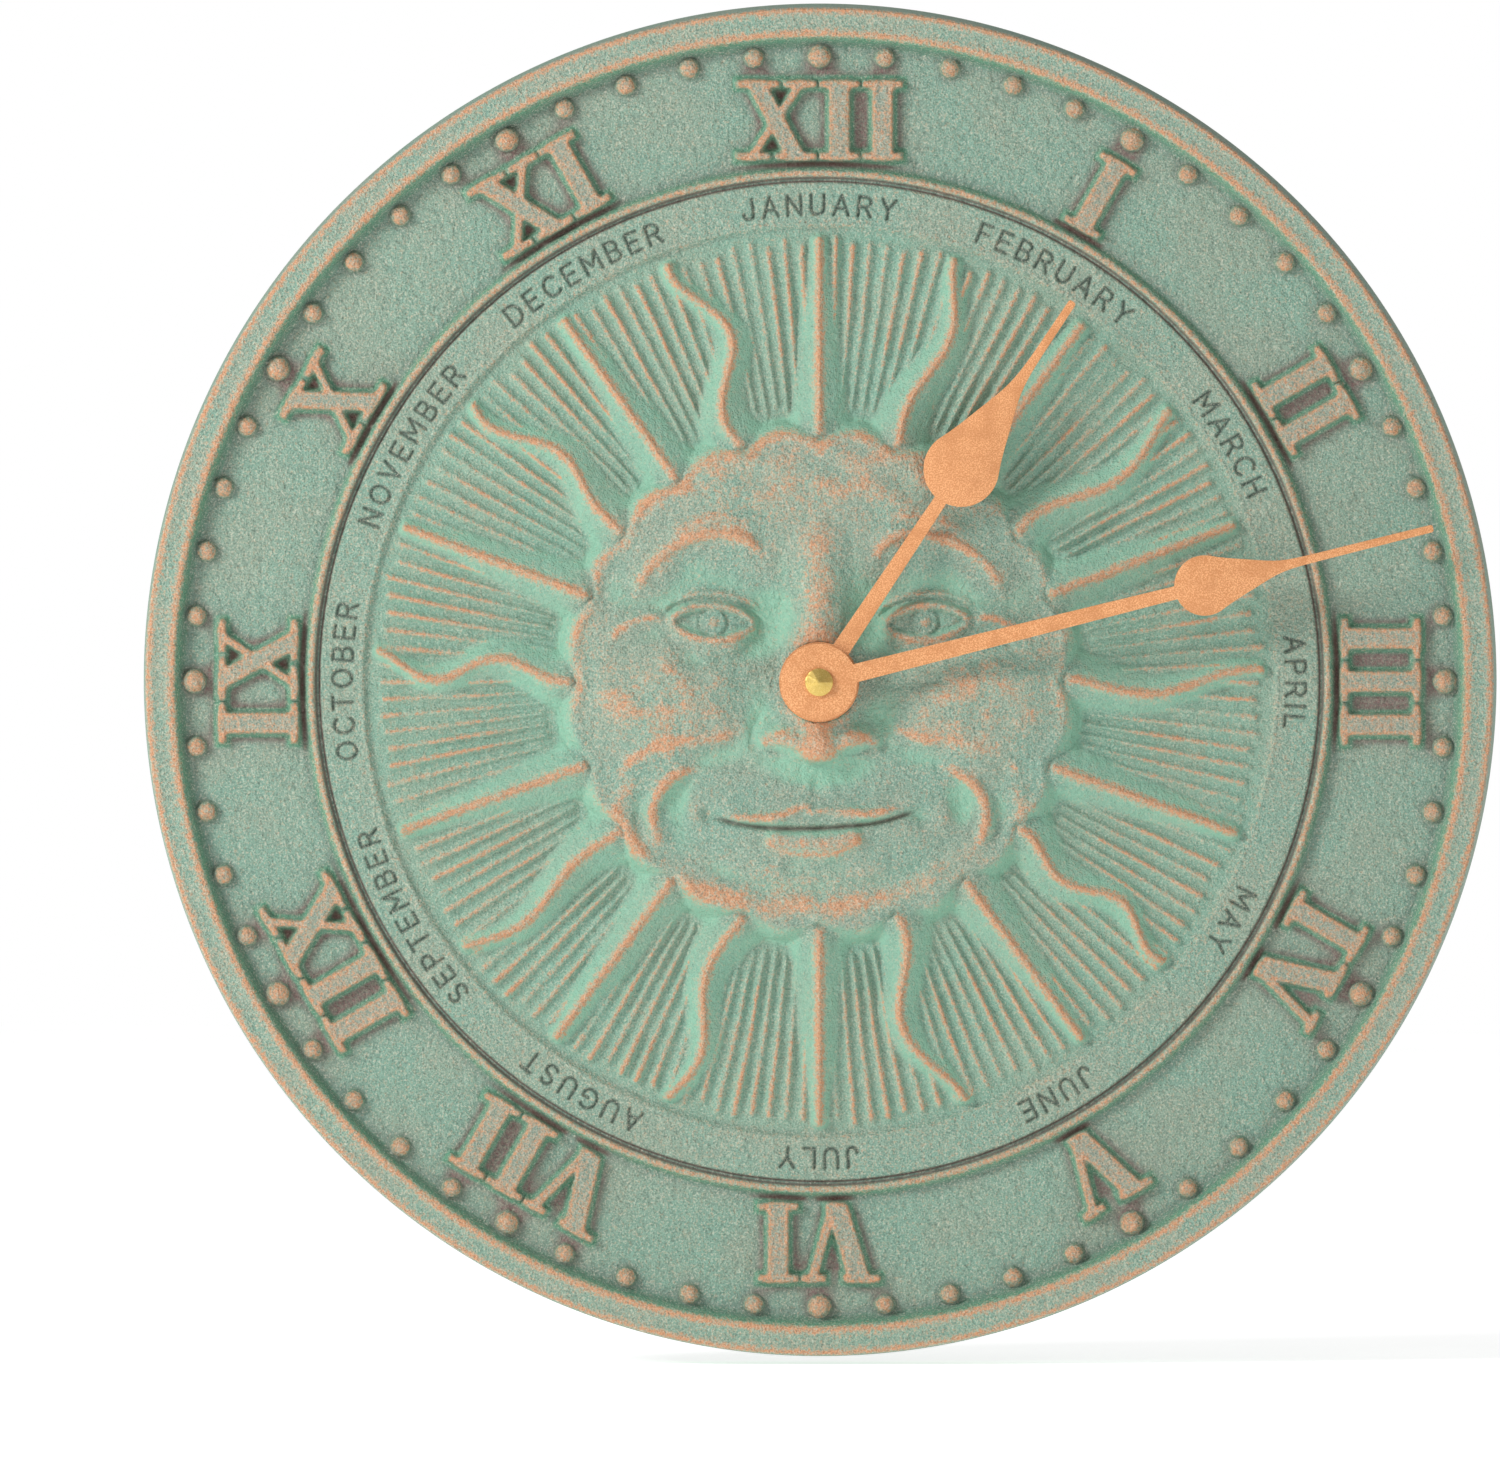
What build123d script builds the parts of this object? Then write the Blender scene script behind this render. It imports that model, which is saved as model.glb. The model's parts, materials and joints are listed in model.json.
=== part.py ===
from build123d import *
from math import asin, atan2, cos, degrees, pi, radians, sin
import os

# A garden wall clock in sundial style, in millimetres. +Z is up (12 o'clock), +X is to the right, and the
# dial faces -Y. The wall is the plane Y = 0 and the origin is the dial's centre on it. Depths are named by t, the
# distance in front of the wall, so a point at depth t has Y = -t. Angles on the dial run clockwise from 12.

# ---- driving dimensions: the casting -----------------------------------------------------------------------
DIAL_R = 152.4
RIM_T = 24.0
RIM_OUTER_R = 150.4
RIM_INNER_R = 145.0
CHANNEL_T = 20.0
CHANNEL_OUTER_R = 143.2
CHANNEL_INNER_R = 115.9
BEAD_R = 114.2
BEAD_T = 22.5
GROOVE_R = 112.7
MONTH_RING_T = 21.5
MONTH_RING_OUTER_R = 112.1
MONTH_RING_INNER_R = 102.4
SUNBURST_T = 20.5
FACE_R = 54.5
FACE_TOP_T = 27.6
FACE_EDGE_T = 22.6
LOBE_R = 8.6
LOBE_CIRCLE_R = 50.0
SPOT_FACE_R = 8.0
SPOT_FACE_T = 26.0
PLATE_BACK_T = 16.8
SKIRT_INNER_R = 149.0
PAD_T = 20.0
COLLAR_R = 46.0
COLLAR_WALL = 2.4
COLLAR_END_T = 9.0
SHAFT_HOLE_R = 4.2

PIP_COUNT = 60
HOUR_PIP_R = 2.75
MINUTE_PIP_R = 2.35
HOUR_PIP_CIRCLE_R = 140.4
MINUTE_PIP_CIRCLE_R = 140.8

NUMERAL_FOOT_R = 117.1
NUMERAL_HEIGHT = 18.1
NUMERAL_RAISE = 1.8
SERIF = 1.9
STEM = 5.0
LETTER_WIDTH = {"I": 9.7, "V": 18.5, "X": 18.7}
NUMERALS = ["XII", "I", "II", "III", "IV", "V", "VI", "VII", "IIX", "IX", "X", "XI"]

STRAIGHT_RAYS = [0, 36.4, 69.3, 110, 143.7, 180, 216.5, 250.3, 290.4, 324.8]
WAVY_RAYS = [18, 54, 90, 126, 162, 198, 234, 270, 306, 342]
RAY_START_R = 50.0
RAY_TIP_R = 100.5
RAY_BASE_WIDTH = 12.0
RAY_TIP_WIDTH = 2.4
RAY_RAISE = 3.2
WAVE = 2.4

# ---- driving dimensions: the hands -------------------------------------------------------------------------
HOUR_ANGLE = 33.7
MINUTE_ANGLE = 75.9
HAND_THICKNESS = 0.7
HOUR_HAND_T = 30.0
MINUTE_HAND_T = 32.2
HUB_R = 8.65
HOUR_HUB_R = 9.0
ARM_HALF_AT_HUB = 2.15
ARM_HALF_AT_BULB = 1.5
HOUR_BULB = (57.5, 8.5)
HOUR_HAND_LENGTH = 102.7
MINUTE_BULB = (89.2, 6.8)
MINUTE_HAND_LENGTH = 142.1

# ---- driving dimensions: the movement ----------------------------------------------------------------------
CASE_SIDE = 56.0
CASE_WALL = 1.5
CASE_FRONT_T = 19.2
CASE_SEAM_T = 5.7
CASE_BACK_T = 4.2
PARTITION_TOP_Z = -10.4
PARTITION_LOW_Z = -11.4
PLATE_T = (12.5, 13.2)
BUSH_R = 4.0
BUSH_BORE_R = 2.58
BUSH_END_T = 29.3
PIPE_R = 2.5
PIPE_BORE_R = 1.66
PIPE_END_T = 31.2
ARBOR_R = 1.58
THREAD_R = 1.45
PIVOT_R = 0.40
PIVOT_HOLE_R = 0.45
REAR_PIVOT_T = 5.05
PLATE_PIVOT_T = 13.1
FRONT_PIVOT_T = 18.35
SETTING_SHAFT_R = 1.2
SETTING_HOLE_R = 1.28
KNOB_R = 4.2
KNOB_LAYER = (2.9, 3.9)
ARBOR_SHAFT_R = 1.2
ARBOR_FLANGE_R = 2.0
CENTRE_WHEEL_BORE_R = 1.25

# Teeth of each wheel and pinion
CANNON_TEETH = 12
MOTION_TEETH = 36
MOTION_PINION_TEETH = 10
HOUR_TEETH = 40
SETTING_TEETH = 12
CENTRE_TEETH = 64
THIRD_TEETH = 60
SECONDS_TEETH = 40
INTERMEDIATE_TEETH = 48
PINION_TEETH = 8

# Layers of the movement, each from its rear depth to its front depth
CANNON_LAYER = (13.7, 15.2)
MOTION_LAYER = (13.9, 15.0)
MOTION_PINION_LAYER = (14.9, 16.8)
HOUR_LAYER = (15.6, 16.6)
CENTRE_LAYER = (11.2, 12.0)
CENTRE_HUB_LAYER = (10.65, 11.2)
THIRD_PINION_LAYER = (10.4, 12.3)
THIRD_LAYER = (9.8, 10.5)
SECONDS_PINION_LAYER = (9.6, 11.5)
SECONDS_LAYER = (11.4, 12.0)
INTERMEDIATE_LAYER = (10.2, 10.8)
INTERMEDIATE_PINION_LAYER = (10.7, 12.2)
ROTOR_PINION_LAYER = (9.9, 11.1)
ROTOR_HUB_LAYER = (9.4, 10.0)
MAGNET_LAYER = (7.6, 9.4)
MAGNET_R = 2.1
BATTERY_R = 7.1
BATTERY_LENGTH = 49.2
BATTERY_Z = -18.9
BATTERY_T = 10.5
BUSH_BACK_T = 17.0
BUSH_FLANGE_R = 6.0
SEAL_WASHER_R = 13.0
FRONT_WASHER_R = 7.6
FRONT_WASHER_THICKNESS = 0.6
NUT_ACROSS_FLATS = 12.0
NUT_HEIGHT = 2.0
CAP_NUT_R = 3.1
CAP_NUT_END_T = 36.0

# Cover over the movement, and the hanger
COVER_R = 48.2
COVER_WALL = 1.7
COVER_BACK_T = 1.0
COVER_EDGE_T = 16.0
COVER_FLOOR = 1.6
GRIP_X = 30.0
HANGER_Z = 120.0
HANGER_T = 3.1
HANGER_THICKNESS = 1.5
HANGER_SIZE = (44.0, 22.0)
HANGER_SCREW_X = 16.0
HANGER_SCREW_R = 1.5
HANGER_SCREW_HEAD_R = 2.9
HANGER_SCREW_HEAD_HEIGHT = 1.8
HANGER_SCREW_END_T = 11.0
HANGER_BOSS_R = 4.2
KEYHOLE_Z = 117.0
KEYHOLE_R = 4.6
KEYHOLE_SLOT_R = 2.3
KEYHOLE_SLOT_TOP_Z = 126.0

os.makedirs("parts", exist_ok=True)


# ---- helpers -----------------------------------------------------------------------------------------------
def dial_plane(t, angle=0.0, x=0.0, z=0.0):
    """The plane at depth t that faces the viewer, turned clockwise by angle, with its origin at x, z."""
    a = radians(angle)
    return Plane(origin=(x, -t, z), x_dir=(cos(a), 0, -sin(a)), z_dir=(0, -1, 0))


def radial_plane(r, t, angle):
    """The plane across a radius of the dial: its x runs clockwise and its y runs forward."""
    a = radians(angle)
    centre = (r * sin(a), -t, r * cos(a))
    return Plane(origin=centre, x_dir=(cos(a), 0, -sin(a)), z_dir=(-sin(a), 0, -cos(a)))


def save(piece, name):
    """Label a finished piece and write its STEP file."""
    piece.part.label = name
    export_step(piece.part, f"parts/{name}.step")


def disc(t_back, t_front, r, x=0.0, z=0.0, hole=0.0, mode=Mode.ADD):
    """A round disc or ring from depth t_back to t_front, made in the part that is open."""
    with BuildSketch(dial_plane(t_back, x=x, z=z)) as outline:
        Circle(r)
        if hole:
            Circle(hole, mode=Mode.SUBTRACT)
    extrude(outline.sketch, amount=t_front - t_back, mode=mode)


def spur(teeth, module, layer, place, phase, hole=0.0):
    """A toothed wheel that fills a layer, with a tooth at the counter-clockwise angle phase."""
    tip_r = module * (teeth / 2 + 0.8)
    root_r = module * (teeth / 2 - 1.1)
    root_half = degrees(0.75 * module / root_r)
    tip_half = degrees(0.35 * module / tip_r)
    points = []
    for k in range(teeth):
        a = phase + 360 * k / teeth
        for r, turn in ((root_r, -root_half), (tip_r, -tip_half), (tip_r, tip_half), (root_r, root_half)):
            points.append((r * cos(radians(a + turn)), r * sin(radians(a + turn))))
    with BuildSketch(dial_plane(layer[0], x=place[0], z=place[1])) as outline:
        with BuildLine():
            Polyline(points, close=True)
        make_face()
        if hole:
            Circle(hole, mode=Mode.SUBTRACT)
    extrude(outline.sketch, amount=layer[1] - layer[0])


def mesh_phase(teeth, phase, place, mate_teeth, mate_place):
    """The phase of a mate whose gap takes the wheel's teeth on the line between the two centres."""
    line = degrees(atan2(mate_place[1] - place[1], mate_place[0] - place[0]))
    share = ((line - phase) / (360 / teeth)) % 1.0
    return line + 180 + (share + 0.5) * 360 / mate_teeth


def step_from(place, distance, angle):
    """The point at a distance from place, at a counter-clockwise angle."""
    return (place[0] + distance * cos(radians(angle)), place[1] + distance * sin(radians(angle)))


# ---- layout of the train, seen from the front --------------------------------------------------------------
CENTRE = (0.0, 0.0)
MOTION_MODULE = 0.5
HOUR_MODULE = 0.48
CENTRE_MODULE = 0.25
THIRD_MODULE = 0.2
SECONDS_MODULE = 0.22
ROTOR_MODULE = 0.16
MOTION = step_from(CENTRE, MOTION_MODULE * (CANNON_TEETH + MOTION_TEETH) / 2, 156.4)
SETTING = step_from(MOTION, MOTION_MODULE * (MOTION_TEETH + SETTING_TEETH) / 2, 123.0)
THIRD = step_from(CENTRE, CENTRE_MODULE * (CENTRE_TEETH + PINION_TEETH) / 2, 50.0)
SECONDS = step_from(THIRD, THIRD_MODULE * (THIRD_TEETH + PINION_TEETH) / 2, 5.0)
INTERMEDIATE = step_from(SECONDS, SECONDS_MODULE * (SECONDS_TEETH + PINION_TEETH) / 2, 60.0)
ROTOR = step_from(INTERMEDIATE, ROTOR_MODULE * (INTERMEDIATE_TEETH + PINION_TEETH) / 2, -30.0)

CANNON_PHASE = 0.0
MOTION_PHASE = mesh_phase(CANNON_TEETH, CANNON_PHASE, CENTRE, MOTION_TEETH, MOTION)
MOTION_PINION_PHASE = MOTION_PHASE
HOUR_PHASE = mesh_phase(MOTION_PINION_TEETH, MOTION_PINION_PHASE, MOTION, HOUR_TEETH, CENTRE)
SETTING_PHASE = mesh_phase(MOTION_TEETH, MOTION_PHASE, MOTION, SETTING_TEETH, SETTING)
CENTRE_PHASE = 0.0
THIRD_PINION_PHASE = mesh_phase(CENTRE_TEETH, CENTRE_PHASE, CENTRE, PINION_TEETH, THIRD)
THIRD_PHASE = THIRD_PINION_PHASE
SECONDS_PINION_PHASE = mesh_phase(THIRD_TEETH, THIRD_PHASE, THIRD, PINION_TEETH, SECONDS)
SECONDS_PHASE = SECONDS_PINION_PHASE
INTERMEDIATE_PINION_PHASE = mesh_phase(SECONDS_TEETH, SECONDS_PHASE, SECONDS, PINION_TEETH, INTERMEDIATE)
INTERMEDIATE_PHASE = INTERMEDIATE_PINION_PHASE
ROTOR_PINION_PHASE = mesh_phase(INTERMEDIATE_TEETH, INTERMEDIATE_PHASE, INTERMEDIATE, PINION_TEETH, ROTOR)


# ---- dial casting ------------------------------------------------------------------------------------------
def letter_i(x):
    """A slab-footed I, centred at x in the open sketch, with its foot at y = 0."""
    half = NUMERAL_HEIGHT / 2
    with Locations((x, half)):
        Rectangle(STEM, NUMERAL_HEIGHT)
    with Locations((x, SERIF / 2), (x, NUMERAL_HEIGHT - SERIF / 2)):
        Rectangle(LETTER_WIDTH["I"] - 0.3, SERIF)


def stroke(x_low, x_high, width):
    """A slanted stroke from x_low at the foot to x_high at the head, width wide along x."""
    w = width / 2
    with BuildLine() as outline:
        Polyline((x_low - w, 0), (x_low + w, 0), (x_high + w, NUMERAL_HEIGHT), (x_high - w, NUMERAL_HEIGHT),
                 close=True)
    make_face(outline.edges())


def serif(x_left, x_right, y):
    """A flat serif from x_left to x_right, centred at height y."""
    with Locations(((x_left + x_right) / 2, y)):
        Rectangle(x_right - x_left, SERIF)


def letter_v(x):
    """A V with its thick stroke on the left."""
    head = NUMERAL_HEIGHT - SERIF / 2
    stroke(x + 1.2, x - 4.4, 5.4)
    stroke(x + 1.6, x + 6.6, 2.5)
    serif(x - 9.1, x - 0.2, head)
    serif(x + 3.2, x + 9.1, head)


def letter_x(x):
    """An X with its thick stroke from the upper left to the lower right."""
    head = NUMERAL_HEIGHT - SERIF / 2
    stroke(x + 4.9, x - 4.9, 5.0)
    stroke(x - 6.0, x + 6.0, 2.4)
    serif(x - 9.2, x + 0.85, head)
    serif(x + 1.5, x + 9.2, head)
    serif(x - 9.2, x - 1.1, SERIF / 2)
    serif(x - 0.4, x + 9.2, SERIF / 2)


LETTERS = {"I": letter_i, "V": letter_v, "X": letter_x}


def ray(angle, wave):
    """A sun ray with a ridge, straight where wave is 0 and swaying by wave otherwise, in the open part."""
    steps = 8 if wave else 1
    sections = []
    for k in range(steps + 1):
        share = k / steps
        r = RAY_START_R + (RAY_TIP_R - RAY_START_R) * share
        half = (RAY_BASE_WIDTH + (RAY_TIP_WIDTH - RAY_BASE_WIDTH) * share) / 2
        sway = wave * sin(2 * pi * share)
        ridge = RAY_RAISE * (1 - 0.35 * share)
        with BuildSketch(radial_plane(r, SUNBURST_T - 0.6, angle)) as section:
            with BuildLine():
                Polyline((sway - half, 0), (sway + half, 0), (sway, ridge + 0.6), close=True)
            make_face()
        sections.append(section.sketch)
    loft(sections, ruled=True)


def cap(x, z, r, height, base_t):
    """A low round swelling of radius r that rises height in front of base_t."""
    ball = (r * r + height * height) / (2 * height)
    middle = asin(r / ball) / 2
    top_t = base_t + height
    on_arc = (ball * sin(middle), ball * (1 - cos(middle)) - top_t)
    with BuildSketch(Plane(origin=(x, 0, z), x_dir=(1, 0, 0), z_dir=(0, 0, 1))) as profile:
        with BuildLine():
            Polyline((r, -base_t), (r, 2.0 - base_t), (0, 2.0 - base_t), (0, -top_t))
            ThreePointArc((0, -top_t), on_arc, (r, -base_t))
        make_face()
    revolve(profile.sketch, axis=Axis((x, 0, z), (0, 1, 0)))


with BuildPart() as dial_casting:
    with BuildSketch(Plane.XY) as dial_profile:
        with BuildLine():
            Polyline((SHAFT_HOLE_R, -PAD_T), (SHAFT_HOLE_R, -SPOT_FACE_T), (SPOT_FACE_R, -SPOT_FACE_T),
                     (SPOT_FACE_R + 1.4, -FACE_TOP_T))
            ThreePointArc((SPOT_FACE_R + 1.4, -FACE_TOP_T), (36, -26.1), (FACE_R, -FACE_EDGE_T))
            Polyline((FACE_R, -FACE_EDGE_T), (FACE_R + 1.2, -SUNBURST_T), (MONTH_RING_INNER_R, -SUNBURST_T),
                     (MONTH_RING_INNER_R + 0.6, -MONTH_RING_T), (MONTH_RING_OUTER_R, -MONTH_RING_T),
                     (GROOVE_R - 0.3, -MONTH_RING_T + 0.6), (GROOVE_R + 0.3, -MONTH_RING_T + 0.6),
                     (BEAD_R - 1.1, -MONTH_RING_T))
            ThreePointArc((BEAD_R - 1.1, -MONTH_RING_T), (BEAD_R, -BEAD_T), (BEAD_R + 1.1, -MONTH_RING_T))
            Polyline((BEAD_R + 1.1, -MONTH_RING_T), (CHANNEL_INNER_R, -CHANNEL_T),
                     (CHANNEL_OUTER_R, -CHANNEL_T), (RIM_INNER_R - 0.7, -RIM_T + 0.5), (RIM_INNER_R, -RIM_T),
                     (RIM_OUTER_R, -RIM_T), (DIAL_R - 1.1, -RIM_T + 1.1), (DIAL_R, 0), (SKIRT_INNER_R, 0),
                     (SKIRT_INNER_R - 1.0, -PLATE_BACK_T), (COLLAR_R, -PLATE_BACK_T),
                     (COLLAR_R, -COLLAR_END_T), (COLLAR_R - COLLAR_WALL, -COLLAR_END_T),
                     (COLLAR_R - COLLAR_WALL, -PAD_T), (SHAFT_HOLE_R, -PAD_T))
        make_face()
    revolve(axis=Axis.Y)

    # The scalloped edge of the face: one lobe between each ray and the next
    all_rays = sorted(STRAIGHT_RAYS + WAVY_RAYS)
    for k, start in enumerate(all_rays):
        end = all_rays[(k + 1) % len(all_rays)] + (360 if k == len(all_rays) - 1 else 0)
        middle = radians((start + end) / 2)
        lobe_x = LOBE_CIRCLE_R * sin(middle)
        lobe_z = LOBE_CIRCLE_R * cos(middle)
        disc(PAD_T - 1, FACE_EDGE_T, LOBE_R, x=lobe_x, z=lobe_z)

    # Hour and minute pips on the channel floor
    for k in range(PIP_COUNT):
        at_hour = k % 5 == 0
        a = radians(360 * k / PIP_COUNT)
        circle_r = HOUR_PIP_CIRCLE_R if at_hour else MINUTE_PIP_CIRCLE_R
        with Locations((circle_r * sin(a), -CHANNEL_T, circle_r * cos(a))):
            Sphere(HOUR_PIP_R if at_hour else MINUTE_PIP_R)

    # Numerals, each a straight word with its head outward
    for hour, word in enumerate(NUMERALS):
        a = radians(30 * hour)
        foot = (NUMERAL_FOOT_R * sin(a), NUMERAL_FOOT_R * cos(a))
        with BuildSketch(dial_plane(CHANNEL_T, 30 * hour, foot[0], foot[1])):
            x = -sum(LETTER_WIDTH[c] for c in word) / 2
            for c in word:
                LETTERS[c](x + LETTER_WIDTH[c] / 2)
                x += LETTER_WIDTH[c]
        extrude(amount=NUMERAL_RAISE)

    for angle in STRAIGHT_RAYS:
        ray(angle, 0)
    for angle in WAVY_RAYS:
        ray(angle, WAVE)

    # The sun's face, as plain swellings: cheeks, forehead, chin, eyes, nose and lips
    for side in (-1, 1):
        cap(side * 25, -8, 15, 2.2, 26.0)
        cap(side * 22, 15, 7, 2.0, 26.6)
        cap(side * 7.6, -14, 3.6, 1.2, 27.2)
    cap(0, 36, 19, 1.8, 25.8)
    cap(0, -43, 11, 2.6, 24.2)
    cap(0, -15, 5.6, 2.0, 27.2)
    for lip_z, lip_t in ((-29.5, 27.0), (-33.5, 26.6)):
        with BuildSketch(dial_plane(PAD_T, x=0, z=lip_z)):
            Ellipse(12, 2.0)
        extrude(amount=lip_t - PAD_T)

    # The bosses behind the dial that carry the hanger, each with a blind screw hole
    boss_end_t = HANGER_T + HANGER_THICKNESS
    hole_end_t = HANGER_SCREW_END_T + 1
    for x in (-HANGER_SCREW_X, HANGER_SCREW_X):
        disc(boss_end_t, PLATE_BACK_T + 0.5, HANGER_BOSS_R, x=x, z=HANGER_Z)
        disc(boss_end_t, hole_end_t, HANGER_SCREW_R, x=x, z=HANGER_Z, mode=Mode.SUBTRACT)

    # The spot face and the shaft hole stay clear of the face's swellings
    disc(SPOT_FACE_T, RIM_T + 8, SPOT_FACE_R, mode=Mode.SUBTRACT)
    disc(PAD_T - 1, RIM_T + 8, SHAFT_HOLE_R, mode=Mode.SUBTRACT)
save(dial_casting, "dial_casting")


# ---- hanger ------------------------------------------------------------------------------------------------
with BuildPart() as hanger_plate:
    with BuildSketch(dial_plane(HANGER_T, z=HANGER_Z)):
        RectangleRounded(HANGER_SIZE[0], HANGER_SIZE[1], 5)
        with Locations((-HANGER_SCREW_X, 0), (HANGER_SCREW_X, 0)):
            Circle(HANGER_SCREW_R + 0.1, mode=Mode.SUBTRACT)
        with Locations((0, KEYHOLE_Z - HANGER_Z)):
            Circle(KEYHOLE_R, mode=Mode.SUBTRACT)
        slot_rise = KEYHOLE_SLOT_TOP_Z - KEYHOLE_SLOT_R - KEYHOLE_Z
        with Locations((0, KEYHOLE_Z - HANGER_Z + slot_rise / 2)):
            Rectangle(2 * KEYHOLE_SLOT_R, slot_rise, mode=Mode.SUBTRACT)
        with Locations((0, KEYHOLE_Z - HANGER_Z + slot_rise)):
            Circle(KEYHOLE_SLOT_R, mode=Mode.SUBTRACT)
    extrude(amount=HANGER_THICKNESS)
save(hanger_plate, "hanger_plate")

with BuildPart() as hanger_screws:
    for x in (-HANGER_SCREW_X, HANGER_SCREW_X):
        disc(HANGER_T, HANGER_SCREW_END_T, HANGER_SCREW_R, x=x, z=HANGER_Z)
        disc(HANGER_T - HANGER_SCREW_HEAD_HEIGHT, HANGER_T, HANGER_SCREW_HEAD_R, x=x, z=HANGER_Z)
        with BuildSketch(dial_plane(HANGER_T - HANGER_SCREW_HEAD_HEIGHT, x=x, z=HANGER_Z)):
            Rectangle(3.4, 0.8)
            Rectangle(0.8, 3.4)
        extrude(amount=HANGER_SCREW_HEAD_HEIGHT / 2, mode=Mode.SUBTRACT)
save(hanger_screws, "hanger_screws")


# ---- cover over the movement -------------------------------------------------------------------------------
with BuildPart() as movement_cover:
    with BuildSketch(Plane.XY):
        inner = COVER_R - COVER_WALL
        with BuildLine():
            Polyline((0, -COVER_BACK_T), (COVER_R - 3, -COVER_BACK_T))
            RadiusArc((COVER_R - 3, -COVER_BACK_T), (COVER_R, -COVER_BACK_T - 3), -3)
            Polyline((COVER_R, -COVER_BACK_T - 3), (COVER_R, -COVER_EDGE_T), (inner, -COVER_EDGE_T),
                     (inner, -COVER_BACK_T - 3), (inner - 1.4, -COVER_BACK_T - COVER_FLOOR),
                     (0, -COVER_BACK_T - COVER_FLOOR), (0, -COVER_BACK_T))
        make_face()
    revolve(axis=Axis.Y)
    for x in (-GRIP_X, GRIP_X):
        with BuildSketch(dial_plane(COVER_BACK_T - 0.8, x=x)):
            SlotOverall(22, 4, rotation=90)
        extrude(amount=1.0)
save(movement_cover, "movement_cover")

with BuildPart() as cover_gasket:
    disc(COVER_EDGE_T + 0.05, PLATE_BACK_T, COVER_R + 0.4, hole=COLLAR_R)
save(cover_gasket, "cover_gasket")


# ---- movement case -----------------------------------------------------------------------------------------
CASE_IN = CASE_SIDE / 2 - CASE_WALL
POSTS = [(24.0, -8.0), (24.0, 13.0), (-24.0, -8.0), (-24.0, 8.0)]
BOARD_POSTS = [(-22.0, 24.0), (-1.0, 24.0)]
BOARD_T = (6.9, 7.7)

with BuildPart() as movement_front_case:
    with BuildSketch(dial_plane(CASE_SEAM_T)):
        RectangleRounded(CASE_SIDE, CASE_SIDE, 4)
    extrude(amount=CASE_FRONT_T - CASE_SEAM_T)
    chamfer(movement_front_case.faces().sort_by(Axis.Y)[0].outer_wire().edges(), 0.8)
    for low, high in ((-CASE_IN, PARTITION_LOW_Z), (PARTITION_TOP_Z, CASE_IN)):
        with BuildSketch(dial_plane(CASE_SEAM_T, z=(low + high) / 2)):
            Rectangle(2 * CASE_IN, high - low)
        extrude(amount=CASE_FRONT_T - CASE_WALL - CASE_SEAM_T, mode=Mode.SUBTRACT)
    for x, z in POSTS:
        disc(PLATE_T[1], CASE_FRONT_T - 1, 1.5, x=x, z=z)
    for x, z in BOARD_POSTS:
        disc(BOARD_T[1], CASE_FRONT_T - 1, 1.2, x=x, z=z)
    disc(CASE_SEAM_T, CASE_FRONT_T + 1, BUSH_R, mode=Mode.SUBTRACT)
    for x, z in (MOTION, SETTING):
        disc(CASE_FRONT_T - CASE_WALL - 0.5, CASE_FRONT_T - 0.7, PIVOT_HOLE_R, x=x, z=z, mode=Mode.SUBTRACT)
save(movement_front_case, "movement_front_case")

with BuildPart() as movement_rear_case:
    with BuildSketch(dial_plane(CASE_BACK_T)):
        RectangleRounded(CASE_SIDE, CASE_SIDE, 4)
        with Locations((0, (-CASE_SIDE / 2 + PARTITION_LOW_Z) / 2)):
            Rectangle(CASE_SIDE + 2, CASE_SIDE / 2 + PARTITION_LOW_Z, mode=Mode.SUBTRACT)
    extrude(amount=CASE_SEAM_T - CASE_BACK_T)
    with BuildSketch(dial_plane(CASE_SEAM_T, z=(PARTITION_TOP_Z + CASE_IN) / 2)):
        Rectangle(2 * CASE_IN - 0.3, CASE_IN - PARTITION_TOP_Z - 0.3)
        Rectangle(2 * CASE_IN - 2.5, CASE_IN - PARTITION_TOP_Z - 2.5, mode=Mode.SUBTRACT)
    extrude(amount=1.0)
    disc(CASE_BACK_T - 1, CASE_SEAM_T + 1, SETTING_HOLE_R, x=SETTING[0], z=SETTING[1], mode=Mode.SUBTRACT)
    for x, z in (THIRD, SECONDS, INTERMEDIATE, ROTOR):
        disc(CASE_SEAM_T - 0.7, CASE_SEAM_T + 1, PIVOT_HOLE_R, x=x, z=z, mode=Mode.SUBTRACT)
    disc(CASE_SEAM_T - 0.7, CASE_SEAM_T + 1, 0.85, mode=Mode.SUBTRACT)
save(movement_rear_case, "movement_rear_case")

with BuildPart() as train_plate:
    with BuildSketch(dial_plane(PLATE_T[0])):
        with Locations((0, 3.9)):
            Rectangle(52, 28)
        Circle(3.2, mode=Mode.SUBTRACT)
        with Locations(SETTING):
            Circle(SETTING_HOLE_R, mode=Mode.SUBTRACT)
        with Locations(MOTION, THIRD, SECONDS, INTERMEDIATE, ROTOR):
            Circle(PIVOT_HOLE_R, mode=Mode.SUBTRACT)
    extrude(amount=PLATE_T[1] - PLATE_T[0])
save(train_plate, "train_plate")


# ---- fixing of the movement to the dial --------------------------------------------------------------------
with BuildPart() as threaded_bush:
    disc(BUSH_BACK_T, CASE_FRONT_T - CASE_WALL, BUSH_FLANGE_R, hole=BUSH_BORE_R)
    disc(BUSH_BACK_T, BUSH_END_T, BUSH_R, hole=BUSH_BORE_R)
save(threaded_bush, "threaded_bush")

with BuildPart() as seal_washer:
    disc(CASE_FRONT_T, PAD_T, SEAL_WASHER_R, hole=BUSH_R)
save(seal_washer, "seal_washer")

with BuildPart() as front_washer:
    disc(SPOT_FACE_T, SPOT_FACE_T + FRONT_WASHER_THICKNESS, FRONT_WASHER_R, hole=BUSH_R)
save(front_washer, "front_washer")

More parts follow.
